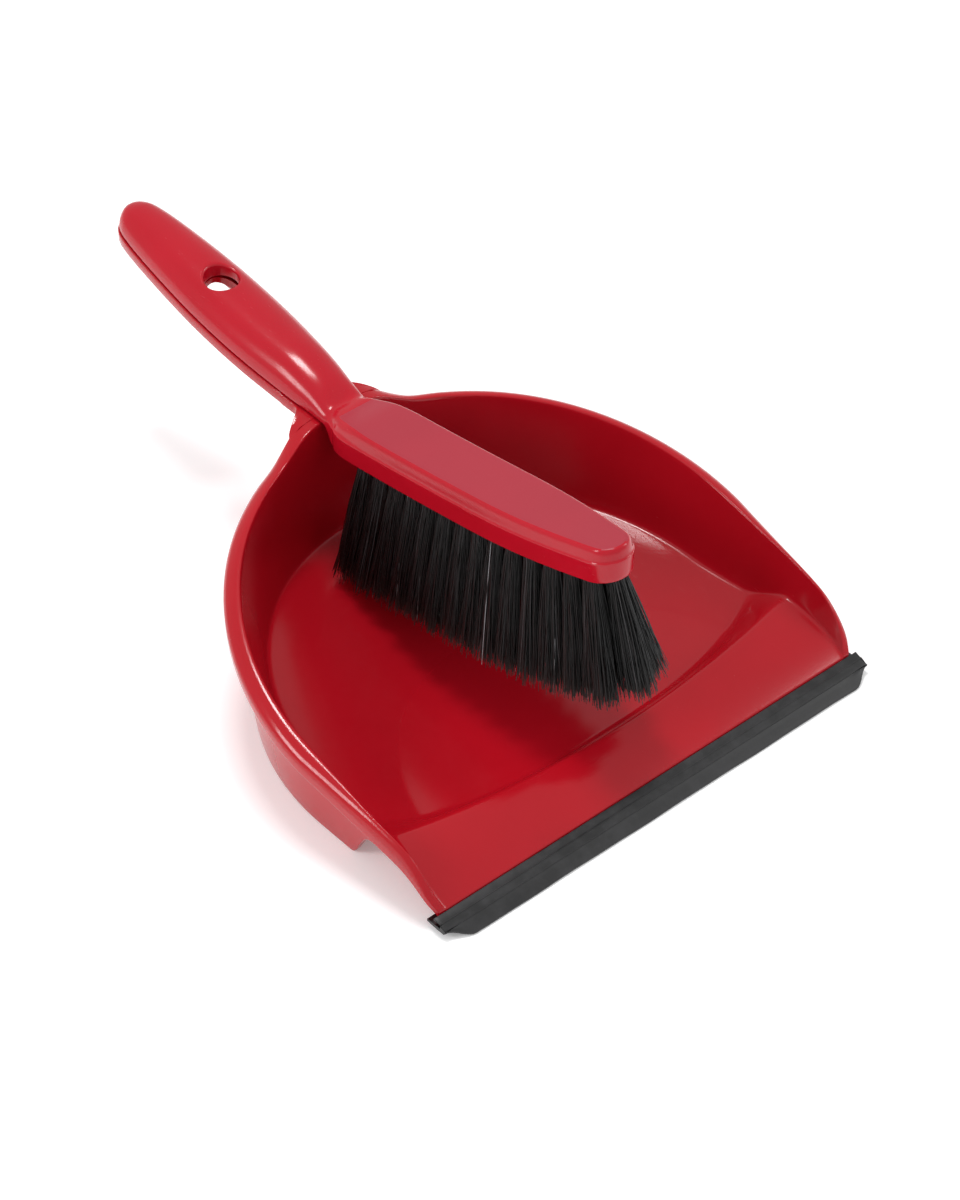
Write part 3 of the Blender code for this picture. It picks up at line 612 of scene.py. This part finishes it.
# %% Outlines that both handles share
def handle_half_width(y):
    """Half the brush handle's width, from the neck to the rounded tip."""
    share = (y - ROOT_Y) / HANDLE_LENGTH
    shape = [
        (-0.12, 0.70), (-0.05, 0.74), (0.02, 0.82), (0.13, 0.90), (0.26, 0.975), (0.38, 1.0),
        (0.50, 0.985), (0.62, 0.93), (0.74, 0.85), (0.85, 0.755), (0.92, 0.665), (0.96, 0.55),
        (0.985, 0.37), (1.0, 0.14),
    ]
    return HANDLE_HALF_WIDTH * along(shape, share)


def handle_height(y):
    share = (y - ROOT_Y) / HANDLE_LENGTH
    shape = [
        (-0.12, 0.55), (0.0, 0.86), (0.12, 1.0), (0.6, 1.0), (0.8, 0.94), (0.92, 0.84),
        (0.97, 0.68), (1.0, 0.42),
    ]
    return HANDLE_THICKNESS * along(shape, share)


def pan_plate_half(y):
    flare = 10.0 * (1 - smooth_step(0.0, 1.0, (y - PAN_BACK_Y + 3.0) / 10.0)) ** 1.5
    along_brush = (max(y, ROOT_Y) - ROOT_Y) * HANDLE_LENGTH / (HANDLE_LENGTH + LEDGE)
    return handle_half_width(ROOT_Y + along_brush) + LEDGE + flare


# %% Lofts for the plate, the rib and their hollows
def plate_ring(y, inset, drop):
    half = max(pan_plate_half(y) - inset, 0.6)
    top = seam_height(y) - SEAM_GAP - inset
    plain = RIM_FRONT_HEIGHT + RIM_SLOPE * PAN_BACK_Y + 0.68
    edge = min(top, pan_top_height(half, y, plain) - inset) if y < ROOT_Y + 8.0 else top
    low = edge - drop
    fillet = min(0.5, half * 0.3)
    right = [(half - 0.15, low), (half, low + 0.3), (half, edge - fillet)]
    for degrees in (22, 45, 68):
        turn = math.radians(degrees)
        right.append((half - fillet * (1 - math.cos(turn)), edge - fillet * (1 - math.sin(turn))))
    right.append((half - fillet, edge))
    right += [(half * share, mix(top, edge, share**6)) for share in (0.8, 0.6, 0.3)]
    ring = [(x, y, z) for x, z in right] + [(0.0, y, top)]
    ring += [(-x, y, z) for x, z in reversed(right)]
    return ring + [(-half * 0.5, y, low), (0.0, y, low), (half * 0.5, y, low)]


def plate_stations():
    root = [PAN_BACK_Y - 3.5 + 0.9 * i for i in range(20)]
    body = [ROOT_Y + 12.5 + 3.0 * i for i in range(32)]
    tip = [PAN_TIP_Y - 9.5 * (1 - i / 11) ** 2.2 for i in range(12)]
    return root + [y for y in body if y < PAN_TIP_Y - 10.5] + tip


def arch_ring(y, half, height, base, points=18):
    turns = [math.pi * i / points for i in range(points + 1)]
    return [(-half * math.cos(t), y, base + height * math.sin(t) ** 0.8) for t in turns]


def rib_ring(y, start, end, inset):
    near = min(max((y - start) / 7.0, 0.0), 1.0)
    far = min(max((end - y) / 7.0, 0.0), 1.0)
    taper = 0.35 + 0.65 * math.sqrt(min(near, far))
    base = seam_height(y) - SEAM_GAP - 1.0
    half = handle_half_width(y) - 3.1 - inset
    if inset:
        return arch_ring(y, half, 6.0 * taper + SEAM_GAP + 4.0, base - inset - 3.0)
    return arch_ring(y, half, 6.0 * taper + SEAM_GAP + 1.0, base)


def rib_loft(name, inset):
    start, end = ROOT_Y + 7.0 + inset, TIP_Y - 12.0 - inset
    count = 40
    places = [mix(start, end, 0.5 - 0.5 * math.cos(math.pi * i / count)) for i in range(count + 1)]
    return rings_object(name, [rib_ring(y, start, end, inset) for y in places])


def tube(name, low, high, radius, sides=64):
    turns = [2 * math.pi * i / sides for i in range(sides)]
    circle = [(radius * math.cos(t), HOLE_Y + radius * math.sin(t)) for t in turns]
    return rings_object(name, [[(x, y, z) for x, y in circle] for z in (low, high)])


# %% Join the pan's shell, handle and mouth tongue
plate = rings_object("plate", [plate_ring(y, 0.0, 4.4) for y in plate_stations()])
hollow_ends = (PAN_BACK_Y + 5.0, PAN_TIP_Y - WALL - 1.5)
hollow_places = [mix(*hollow_ends, i / 30) for i in range(31)]
hollow = rings_object("hollow", [plate_ring(y, WALL, 11.0) for y in hollow_places])
rib = rib_loft("rib", 0.0)
rib_hollow = rib_loft("rib_hollow", WALL)
pan_hole = tube("pan_hole", seam_height(HOLE_Y) - 16.0, seam_height(HOLE_Y) + 12.0, HOLE_RADIUS)
tongue_low, tongue_high = MOUTH_HEIGHT - WALL + 0.1, MOUTH_HEIGHT - 0.8 - SEAM_GAP
tongue_rings = [
    [(x, -3.4, tongue_low), (x, 1.0, tongue_low), (x, 1.0, tongue_high), (x, -3.4, tongue_high)]
    for x in (1.5 - MOUTH_HALF, MOUTH_HALF - 1.5)
]
tongue = rings_object("tongue", tongue_rings)

dust_pan = pan_shell
dust_pan.name = "dust_pan"
for other, operation in (
    (tongue, "UNION"), (plate, "UNION"), (hollow, "DIFFERENCE"),
    (rib, "UNION"), (rib_hollow, "DIFFERENCE"), (pan_hole, "DIFFERENCE"),
):
    cut(dust_pan, other, operation)
apply_modifiers(dust_pan, tongue, plate, hollow, rib, rib_hollow, pan_hole)
dust_pan.data.materials.clear()
dust_pan.data.materials.append(pan_red)
smooth_by_angle(dust_pan, 38)
finish_piece(dust_pan, "dustpan", "pan_red", "dustpan_body")

# %% [markdown]
# ## Rubber lip
#
# A strip of soft rubber grips a tongue along the pan's mouth, and its thin flap lies on the
# ground so that no dust slips under. One profile is drawn, and swept along the mouth. The flap
# fades out near both ends, and its free edge waves a few tenths of a millimetre, as rubber does.


# %% Sweep the lip's profile
def lip_ring(x):
    end = MOUTH_HALF + 3.0
    flap = 0.08 + 0.92 * smooth_step(0.0, 10.0, end - abs(x) - 0.2)
    wave = 0.5 * (math.sin(x / 9.7) + math.sin(x / 4.3 + 1.0) * 0.5) * flap
    end_round = 0.25 * (1 - smooth_step(0.0, 1.2, end - abs(x)))
    band_z = MOUTH_HEIGHT - 1.9
    tip_y = -LIP_BAND - (LIP_FLAP - 0.35) * flap + 0.35 * wave * 0.5
    tip_z = mix(band_z, 1.15, flap) + 0.12 * (wave + 0.7) * flap
    low, high, front = MOUTH_HEIGHT - WALL - 0.3, MOUTH_HEIGHT - 0.8, -3.4 - 0.3
    mid_y, mid_z = mix(-LIP_BAND, tip_y, 0.5), mix(band_z, tip_z, 0.5)
    points = [
        (-0.35, MOUTH_HEIGHT - 0.02), (-1.2, MOUTH_HEIGHT - 0.05 - end_round),
        (-LIP_BAND * 0.5, mix(MOUTH_HEIGHT, band_z, 0.42) - end_round),
        (-LIP_BAND + 0.5, band_z + 0.15 - end_round), (-LIP_BAND - 0.05, band_z - 0.12 - end_round),
        (-LIP_BAND - 0.12, band_z - 0.45), (-LIP_BAND - 0.45, band_z - 0.62 * flap - 0.1),
        (mid_y, mid_z - 0.1), (tip_y + 0.5, tip_z - 0.05), (tip_y + 0.08, tip_z - 0.25),
        (tip_y, tip_z - 0.55), (tip_y + 0.15, tip_z - 0.9), (tip_y + 0.5, tip_z - 0.98),
        (tip_y + 1.6 * flap + 0.3, tip_z - 0.95 + 0.2 * flap), (mid_y + 1.0, mid_z - 1.2),
        (-LIP_BAND + 0.6, band_z - 2.0), (-2.0, band_z - 2.1), (3.0, low - 1.15), (3.2, low - 1.0),
        (3.2, low - 0.1), (3.1, low), (-1.0, low), (front + 0.1, low), (front, low + 0.1),
        (front, high - 0.1), (front + 0.1, high), (-2.0, high), (-0.4, high), (-0.3, high + 0.1),
        (-0.3, MOUTH_HEIGHT - 0.1),
    ]
    return [(x, y, z) for y, z in points]


end_steps = (0.0, 0.4, 1.0, 1.8, 3.0, 4.5, 6.0, 7.5, 9.0, 10.5, 12.5)
half_stations = [MOUTH_HALF + 3.0 - step for step in end_steps]
half_stations += [half_stations[-1] - 2.4 * i for i in range(1, 39)]
half_stations = [x for x in half_stations if x > 1.2] + [0.0]
lip_stations = [-x for x in half_stations] + half_stations[-2::-1]
rubber_strip = rings_object("rubber_strip", [lip_ring(x) for x in lip_stations])
rubber_strip.data.materials.append(lip_rubber)
smooth_by_angle(rubber_strip, 40)
finish_piece(rubber_strip, "dustpan", "lip_black", "rubber_lip")

# %% [markdown]
# ## Brush block
#
# The brush's head and handle are one moulding. The head has upright sides, a shoulder drawn in
# above a fine crease, and a flat satin top; it narrows to a rounded nose. Behind a dimple for
# the thumb it runs into a domed handle. Rings of equally many points pass through all of it,
# and a Subdivision Surface rounds them. Points set close together keep an edge crisp.

# %% Outline of the head
HEAD_BACK_Y = ROOT_Y - 20.0
NOSE_Y = HEAD_BACK_Y - 147.0
HEAD_THICKNESS = 14.6


def head_half_width(y):
    half = 14.4
    from_nose = (y - NOSE_Y) / 62.0
    if from_nose < 1.0:
        half *= 0.60 + 0.40 * math.sin(0.5 * math.pi * max(from_nose, 0.0))
    into_nose = y - NOSE_Y
    if into_nose < 8.0:
        half *= math.sqrt(max(1 - (1 - into_nose / 8.0) ** 2, 0.0)) * 0.97 + 0.03
    heel = HEAD_BACK_Y - y
    if heel < 12.0:
        narrow = handle_half_width(ROOT_Y - 12.0)
        share = math.sqrt(max(1 - (1 - max(heel, 0.0) / 12.0) ** 2, 0.0))
        half = narrow + (half - narrow) * share
    return half


def head_bottom(y):
    behind = y - HEAD_BACK_Y
    return SEAM_ROOT - 8.2 - 0.115 * behind + 0.0003 * behind * behind


# %% Sections through the head and the handle
def head_ring(y):
    """Offsets inwards follow the outline's own normal, so that the shoulder turns round the nose."""
    half = head_half_width(y)
    steepness = 0.0
    if y < NOSE_Y + 40.0:
        steepness = (head_half_width(y + 0.05) - head_half_width(y)) / 0.05
    length = math.hypot(1.0, steepness)
    across, lengthways = 1.0 / length, steepness / length
    low = head_bottom(y)
    top = low + HEAD_THICKNESS - 0.4 - 1.5 * smooth_step(HEAD_BACK_Y - 13.0, HEAD_BACK_Y + 1.0, y)
    side = low + 8.9
    shoulder = (top - side) / 5.8

    def inset(amount, z):
        moved = y + amount * lengthways
        return (max(half - amount * across, half * 0.02), moved, z + head_bottom(moved) - low)

    heel = smooth_step(HEAD_BACK_Y - 22.0, HEAD_BACK_Y, y)
    narrow = handle_half_width(ROOT_Y - 12.0)
    drawn = mix(0.0, max(half - narrow, 0.0) * 0.5, heel)
    rim = [
        inset(0.5, low), inset(0.12, low + 0.12), inset(0.0, low + 0.7),
        inset(-0.02, mix(low, side, 0.5)),
        inset(0.0, side - 0.5), inset(0.1, side - 0.1), inset(0.45, side + 0.12),
        inset(0.75 + drawn * 0.3, side + 1.0 * shoulder),
        inset(1.15 + drawn * 0.6, side + 3.2 * shoulder),
        inset(1.7 + drawn, top - 1.05 * shoulder), inset(2.3 + drawn, top - 0.3 * shoulder),
        inset(2.9 + drawn, top - 0.05 * shoulder), inset(3.4 + drawn, top),
    ]
    right = [(half * 0.5, *rim[0][1:])] + rim + [(rim[-1][0] * 0.5, *rim[-1][1:])]
    ring = [(0.0, *rim[0][1:])] + right + [(0.0, *rim[-1][1:])]
    return ring + [(-x, py, z) for x, py, z in reversed(right)]


def dome_ring(y):
    half = handle_half_width(y)
    low = seam_height(y)
    high = handle_height(y) - 0.1
    right = [(half * 0.5, low), (half - 1.0, low), (half - 0.25, low + 0.1), (half, low + 0.7)]
    for degrees in (9, 17, 25, 33, 41, 49, 56, 63, 70, 77, 84):
        turn = math.radians(degrees)
        right.append((half * math.cos(turn) ** 0.9, low + high * (0.12 + 0.88 * math.sin(turn))))
    ring = [(0.0, y, low)] + [(x, y, z) for x, z in right] + [(0.0, y, low + high)]
    return ring + [(-x, y, z) for x, z in reversed(right)]


def dimple(ring):
    """Presses a shallow thumb rest into the neck's top."""
    top = max(z for _, _, z in ring)
    low = min(z for _, _, z in ring)
    pressed = []
    for x, y, z in ring:
        depth = 1.5 * math.exp(-(((y - ROOT_Y + 12.5) / 4.0) ** 2) - (x / 7.0) ** 2)
        pressed.append((x, y, z - depth * max(0.0, (z - low) / (top - low) - 0.5) * 2))
    return pressed


def block_rings():
    nose_steps = (0.02, 0.25, 0.8, 1.7, 3.0, 4.6, 6.6, 9.0, 12.5, 17.0, 22.5, 29.0, 37.0, 46.0)
    head = [NOSE_Y + step for step in nose_steps]
    head += [NOSE_Y + 56.0 + 11.5 * i for i in range(6)]
    head += [HEAD_BACK_Y - step for step in (22.0, 16.5, 12.5, 9.5, 7.0, 4.8, 3.0, 1.6, 0.6)]
    handle = [ROOT_Y - step for step in (14.0, 12.0, 9.5, 7.0, 4.0, 1.0)]
    handle += [ROOT_Y + 2.5 + 5.0 * i for i in range(21)]
    handle += [TIP_Y - step for step in (9.5, 7.4, 5.6, 4.0, 2.7, 1.6, 0.8, 0.25, 0.0)]
    rings = [head_ring(y) for y in head]
    bridge = [mix(HEAD_BACK_Y - 0.6, ROOT_Y - 14.0, share) for share in (0.3, 0.65)]
    for share, y in zip((0.3, 0.65), bridge):
        one, two = head_ring(HEAD_BACK_Y - 0.6), dome_ring(ROOT_Y - 14.0)
        eased = smooth_step(0.0, 1.0, share)
        rings.append([(mix(a[0], b[0], eased), y, mix(a[2], b[2], eased)) for a, b in zip(one, two)])
    rings += [dome_ring(y) for y in handle]
    return [dimple(ring) for ring in rings]


# %% Round the block and mark its satin top
block_loft = rings_object("block_loft", block_rings(), zipped_ends=True)
block_loft.data.materials.append(brush_red)
block_loft.data.materials.append(brush_satin)
for face in block_loft.data.polygons:
    centre = face.center / MM
    y = centre.y - MOUTH_Y
    flat = NOSE_Y + 3.0 < y < HEAD_BACK_Y - 1.0 and face.normal.z > 0.95
    if flat and centre.z > head_bottom(y) + HEAD_THICKNESS - 2.4:
        face.material_index = 1
subdivide(block_loft, 2)
brush_block = apply_modifiers(block_loft)
brush_block.name = "brush_head_and_handle"
print("block:", len(brush_block.data.polygons), "faces")

# %% [markdown]
# ### Hollow, boss and hanging hole
#
# The handle is an upturned trough. A tube joins its top to the pan's rib, so that one hole
# passes through both. The hole's rim is softly rounded: the cutter flares just where it meets
# the surface, and rays sent down onto the handle find that height all the way round.

# %% Cut the handle's hollow and the hanging hole
from mathutils.bvhtree import BVHTree


def arch_hollow():
    start, end = ROOT_Y + 6.0, TIP_Y - 6.0
    rings = []
    for i in range(31):
        y = mix(start, end, i / 30)
        half = max(handle_half_width(y) - 2.4, 2.0)
        rings.append(arch_ring(y, half, handle_height(y) - 0.4, seam_height(y) - 2.0))
    return rings_object("arch_hollow", rings)


def flared_hole(item):
    surface = BVHTree.FromObject(item, bpy.context.evaluated_depsgraph_get())
    flare = (
        (0.0, -1.5), (0.03, -1.1), (0.16, -0.62), (0.42, -0.28), (0.8, -0.08), (1.1, 0.08), (1.3, 0.5),
    )
    turns = [2 * math.pi * i / 64 for i in range(64)]
    low = seam_height(HOLE_Y) - 4.0
    rings = [[(HOLE_RADIUS * math.cos(t), HOLE_Y + HOLE_RADIUS * math.sin(t), low) for t in turns]]
    for out, down in flare:
        ring = []
        for t in turns:
            x, y = (HOLE_RADIUS + out) * math.cos(t), HOLE_Y + (HOLE_RADIUS + out) * math.sin(t)
            hit = surface.ray_cast(place((x, y, 150.0)), Vector((0, 0, -1)))[0]
            ring.append((x, y, hit.z / MM + down))
        rings.append(ring)
    rings.append([(x, y, z + 6.0) for x, y, z in rings[-1]])
    return rings_object("flared_hole", rings)


def boss_column():
    """Where the trough isn't cut away, a tube of wall stays round the hole."""
    radius = HOLE_RADIUS + 2.53
    turns = [2 * math.pi * (i + 0.37) / 63 for i in range(63)]
    ring = [(radius * math.cos(t), HOLE_Y + radius * math.sin(t)) for t in turns]
    rings = [[(x, y, seam_height(y) + z) for x, y in ring] for z in (6.7, 30.0)]
    return rings_object("boss_column", rings)


trough = arch_hollow()
column = boss_column()
cut(trough, column)
apply_modifiers(trough, column)
hole_cutter = flared_hole(brush_block)
cut(brush_block, trough)
cut(brush_block, hole_cutter)
apply_modifiers(brush_block, trough, hole_cutter)
smooth_by_angle(brush_block, 38)
finish_piece(brush_block, "brush", "brush_red", "brush_block")

# %% [markdown]
# ## Bristles
#
# The frame has one plain plug for each tuft. Its narrow ring is in the block and its wide ring
# is at the tips, so those two rings say where a tuft starts, where it ends and how it fans out.
# Geometry Nodes plants a bundle of filaments at each: a point for each tuft is duplicated,
# every copy gets a curve from root to tip with a little bend of its own, and a thin profile
# is swept along it.

# %% Read where each tuft starts and ends
TUFT_SUNK_SHARE = 8.7 / 56.7
tuft_names = sorted(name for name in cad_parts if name.startswith("tuft_"))


def tuft_lines(name):
    """(mouth of the hole, tip, half the tip's width across, half along) of one tuft."""
    mesh = bpy.data.objects[name].data
    spots = np.array([vertex.co[:] for vertex in mesh.vertices])
    order = spots[:, 2].argsort()
    spread = spots[order]
    gap = spread[:, 2].mean()
    low, high = spread[spread[:, 2] < gap], spread[spread[:, 2] > gap]
    tip, root = (low.min(0) + low.max(0)) / 2, (high.min(0) + high.max(0)) / 2
    across, lengthways = (low.max(0) - low.min(0))[:2] / 2
    mouth = root + (tip - root) * TUFT_SUNK_SHARE
    return mouth, tip, across, lengthways


tufts = [tuft_lines(name) for name in tuft_names]
lowest_tip = min(tuft[1][2] for tuft in tufts) / MM
print(len(tufts), "tufts; the lowest tip is", round(lowest_tip, 1), "mm above the ground")

# %% Build the Geometry Nodes tree
def bristle_tree(material):
    """A tree that turns points carrying a tuft's measures into filaments."""
    tree = bpy.data.node_groups.new("tuft_filaments", "GeometryNodeTree")
    face = tree.interface
    face.new_socket("Geometry", in_out="INPUT", socket_type="NodeSocketGeometry")
    sizes = (
        ("Filaments", "NodeSocketInt", 200), ("Radius", "NodeSocketFloat", 0.0002),
        ("Splay", "NodeSocketFloat", 0.002), ("Bend", "NodeSocketFloat", 0.0015),
        ("Unevenness", "NodeSocketFloat", 0.03), ("Seed", "NodeSocketInt", 7),
    )
    for name, kind, value in sizes:
        face.new_socket(name, in_out="INPUT", socket_type=kind).default_value = value
    face.new_socket("Geometry", in_out="OUTPUT", socket_type="NodeSocketGeometry")
    entry = add_node(tree, "NodeGroupInput").outputs

    def attribute(name, data_type="FLOAT_VECTOR"):
        return add_node(
            tree, "GeometryNodeInputNamedAttribute", inputs=[("Name", name)], data_type=data_type,
        ).outputs["Attribute"]

    def store(geometry, name, value, data_type, domain="POINT"):
        return add_node(
            tree, "GeometryNodeStoreNamedAttribute", data_type=data_type, domain=domain,
            links=[("Geometry", geometry), ("Value", value)], inputs=[("Name", name)],
        ).outputs["Geometry"]

    def maths(operation, one, two=0.0):
        links = [(i, s) for i, s in enumerate((one, two)) if not isinstance(s, float)]
        inputs = [(i, s) for i, s in enumerate((one, two)) if isinstance(s, float)]
        node = add_node(tree, "ShaderNodeMath", operation=operation, links=links, inputs=inputs)
        return node.outputs[0]

    def vector(operation, one, two=None, scale=None):
        links = [(0, one)] + ([(1, two)] if two else []) + ([("Scale", scale)] if scale else [])
        node = add_node(tree, "ShaderNodeVectorMath", operation=operation, links=links)
        return node.outputs["Vector"]

    def chance(offset, low=0.0, high=1.0):
        seed = maths("ADD", entry["Seed"], float(offset))
        node = add_node(tree, "FunctionNodeRandomValue", data_type="FLOAT", links=[("Seed", seed)])
        node.inputs[2].default_value, node.inputs[3].default_value = low, high
        return node.outputs[1]

    def in_disc(offset, power=0.5):
        """A spot in a disc of radius 1: across it in X, along it in Y."""
        turn = chance(offset, 0.0, 2 * math.pi)
        reach = maths("POWER", chance(offset + 1), float(power))
        spot = add_node(tree, "ShaderNodeCombineXYZ", links=[
            ("X", maths("MULTIPLY", maths("COSINE", turn), reach)),
            ("Y", maths("MULTIPLY", maths("SINE", turn), reach)),
        ])
        return spot.outputs["Vector"]

    copies = add_node(
        tree, "GeometryNodeDuplicateElements", domain="POINT",
        links=[("Geometry", entry["Geometry"]), ("Amount", entry["Filaments"])],
    ).outputs["Geometry"]
    spot = in_disc(10)
    start = vector("ADD", attribute("mouth"), vector("MULTIPLY", spot, attribute("mouth_half")))
    loose = vector("SCALE", in_disc(20), scale=entry["Splay"])
    tip = vector("ADD", attribute("tip"), vector("MULTIPLY", spot, attribute("tip_half")))
    tip = vector("ADD", tip, loose)
    missing = maths("MULTIPLY", maths("POWER", chance(30), 2.2), entry["Unevenness"])
    short = maths("SUBTRACT", 1.0, missing)
    travel = vector("SCALE", vector("SUBTRACT", tip, start), scale=short)
    sway = vector("SCALE", in_disc(40, 0.8), scale=entry["Bend"])
    points = store(copies, "start", start, "FLOAT_VECTOR")
    points = store(points, "travel", travel, "FLOAT_VECTOR")
    points = store(points, "sway", sway, "FLOAT_VECTOR")
    points = store(points, "bristle_tint", chance(50), "FLOAT")

    line = add_node(tree, "GeometryNodeCurvePrimitiveLine").outputs["Curve"]
    line = add_node(tree, "GeometryNodeResampleCurve", links=[("Curve", line)], inputs=[("Count", 6)])
    planted = add_node(
        tree, "GeometryNodeInstanceOnPoints",
        links=[("Points", points), ("Instance", line.outputs["Curve"])],
    ).outputs["Instances"]
    curves = add_node(
        tree, "GeometryNodeRealizeInstances", links=[("Geometry", planted)],
    ).outputs["Geometry"]
    share = add_node(tree, "GeometryNodeSplineParameter").outputs["Factor"]
    curves = store(curves, "along_bristle", share, "FLOAT")
    bow = maths("MULTIPLY", maths("MULTIPLY", share, maths("SUBTRACT", 1.0, share)), 4.0)
    spot_on = vector("ADD", attribute("start"), vector("SCALE", attribute("travel"), scale=share))
    spot_on = vector("ADD", spot_on, vector("SCALE", attribute("sway"), scale=bow))
    curves = add_node(
        tree, "GeometryNodeSetPosition", links=[("Geometry", curves), ("Position", spot_on)]
    ).outputs["Geometry"]
    taper = maths("SUBTRACT", 1.0, maths("MULTIPLY", maths("POWER", share, 3.0), 0.45))
    circle = add_node(
        tree, "GeometryNodeCurvePrimitiveCircle", mode="RADIUS",
        links=[("Radius", entry["Radius"])], inputs=[("Resolution", 3)],
    ).outputs["Curve"]
    swept = add_node(
        tree, "GeometryNodeCurveToMesh",
        links=[("Curve", curves), ("Profile Curve", circle)], inputs=[("Fill Caps", True)],
    )
    if "Scale" in swept.inputs:
        tree.links.new(taper, swept.inputs["Scale"])
    whole = add_node(tree, "GeometryNodeRealizeInstances", links=[("Geometry", swept.outputs["Mesh"])])
    painted = add_node(
        tree, "GeometryNodeSetMaterial", links=[("Geometry", whole.outputs["Geometry"])],
        inputs=[("Material", material)],
    )
    add_node(tree, "NodeGroupOutput", links=[("Geometry", painted.outputs["Geometry"])])
    return tree


# %% Plant the filaments
def plant(name, chosen, material, settings, splay_all=1.0):
    """One plain mesh of filaments for these tufts."""
    mesh = bpy.data.meshes.new(name)
    mesh.from_pydata([tuft[0] for tuft in chosen], [], [])
    item = bpy.data.objects.new(name, mesh)
    bpy.context.scene.collection.objects.link(item)
    columns = {
        "mouth": [tuft[0] for tuft in chosen],
        "tip": [tuft[1] for tuft in chosen],
        "mouth_half": [(0.0026, 0.0036, 0.0)] * len(chosen),
        "tip_half": [(tuft[2] * splay_all, tuft[3] * splay_all * 1.2, 0.0) for tuft in chosen],
    }
    for column, values in columns.items():
        layer = mesh.attributes.new(column, "FLOAT_VECTOR", "POINT")
        layer.data.foreach_set("vector", np.array(values, dtype=np.float32).ravel())
    modifier = item.modifiers.new("filaments", "NODES")
    modifier.node_group = bristle_tree(material)
    for socket in modifier.node_group.interface.items_tree:
        if socket.in_out == "INPUT" and socket.name in settings:
            modifier[socket.identifier] = settings[socket.name]
    apply_modifiers(item)
    for layer in ("mouth", "tip", "mouth_half", "tip_half", "start", "travel", "sway"):
        if layer in item.data.attributes:
            item.data.attributes.remove(item.data.attributes[layer])
    item.data.shade_smooth()
    return item


FILAMENTS = 300
SHARES = 4
for number in range(SHARES):
    chosen = tufts[number::SHARES]
    settings = {
        "Filaments": FILAMENTS, "Radius": 0.00022, "Splay": 0.0032, "Bend": 0.0012,
        "Unevenness": 0.09, "Seed": 11 + 100 * number,
    }
    bundle = plant(f"bristles_{number + 1}", chosen, bristle_black, settings)
    finish_piece(bundle, "brush", "bristle_black", *tuft_names[number::SHARES])

# %% A few loose, paler filaments
edge_tufts = [tuft for tuft in tufts if abs(tuft[0][0]) > 0.0062]
stray_settings = {
    "Filaments": 1, "Radius": 0.00016, "Splay": 0.006, "Bend": 0.002,
    "Unevenness": 0.2, "Seed": 4242,
}
strays = plant("stray_bristles", edge_tufts, bristle_grey, stray_settings, 1.3)
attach(strays, "brush")
print("stray filaments:", len(edge_tufts))

# %% [markdown]
# ## Floor, light and camera
#
# The set stands in a plain white studio. The floor runs on behind it without an edge. Three soft
# lights, above, left and right, give the highlights on the rim and the handle, and the world
# lights the rest. The floor glows a little, like a lit table, to keep its shadows pale.
# The camera looks down over the mouth's left corner through a long lens.

# %% Studio floor
def studio_floor():
    plane = bmesh.new()
    corners = [(-6, -6, 0), (6, -6, 0), (6, 6, 0), (-6, 6, 0)]
    plane.faces.new([plane.verts.new(Vector(corner)) for corner in corners])
    mesh = bpy.data.meshes.new("studio_floor")
    plane.to_mesh(mesh)
    plane.free()
    item = bpy.data.objects.new("studio_floor", mesh)
    bpy.context.scene.collection.objects.link(item)
    material, tree, shader, where = new_material("studio_paper")
    fibres = noise(tree, where, 3.0, detail=3.0)
    colour = mix_colour(tree, fibres, hex_colour("#f7f7f8"), hex_colour("#fcfcfc"))
    tree.links.new(colour, shader.inputs["Base Color"])
    shader.inputs["Roughness"].default_value = 0.9
    shader.inputs["Specular IOR Level"].default_value = 0.1
    shader.inputs["Emission Color"].default_value = (1.0, 1.0, 1.0, 1.0)
    shader.inputs["Emission Strength"].default_value = 0.2
    mesh.materials.append(material)


studio_floor()


# %% Lights
def soft_light(name, spot, target, width, height, watts):
    data = bpy.data.lights.new(name, "AREA")
    data.shape = "RECTANGLE"
    data.size, data.size_y, data.energy = width, height, watts
    item = bpy.data.objects.new(name, data)
    item.location = spot
    item.rotation_euler = (Vector(target) - Vector(spot)).to_track_quat("-Z", "Y").to_euler()
    bpy.context.scene.collection.objects.link(item)


soft_light("light_above", (0.1, 0.25, 1.5), (0.0, 0.0, 0.03), 0.4, 0.25, 9.0)
soft_light("light_left", (-1.3, 0.35, 0.9), (0.0, 0.0, 0.04), 0.4, 0.5, 7.0)
soft_light("light_right", (1.1, -0.7, 0.8), (0.0, 0.0, 0.04), 0.4, 0.6, 4.0)

world = bpy.data.worlds.new("studio_white")
world.use_nodes = True
world.node_tree.nodes["Background"].inputs["Color"].default_value = (1.0, 1.0, 1.0, 1.0)
world.node_tree.nodes["Background"].inputs["Strength"].default_value = 0.6
bpy.context.scene.world = world
bpy.context.scene.view_settings.view_transform = "Standard"

# %% Camera
camera_data = bpy.data.cameras.new("camera")
camera_data.lens = 112.13
camera_data.sensor_width = 36.0
camera_data.shift_x = 0.0258
camera_data.shift_y = -0.0403
camera_data.clip_start, camera_data.clip_end = 0.05, 30.0
camera = bpy.data.objects.new("camera", camera_data)
aim = Vector((0.0, -0.0341, 0.0432))
turn, lift, distance = math.radians(-41.31), math.radians(40.38), 1.395
away = Vector((math.sin(turn) * math.cos(lift), -math.cos(turn) * math.cos(lift), math.sin(lift)))
camera.location = aim + away * distance
camera.rotation_euler = (-away).to_track_quat("-Z", "Y").to_euler()
bpy.context.scene.collection.objects.link(camera)
bpy.context.scene.camera = camera
print("camera at", [round(value, 4) for value in camera.location])
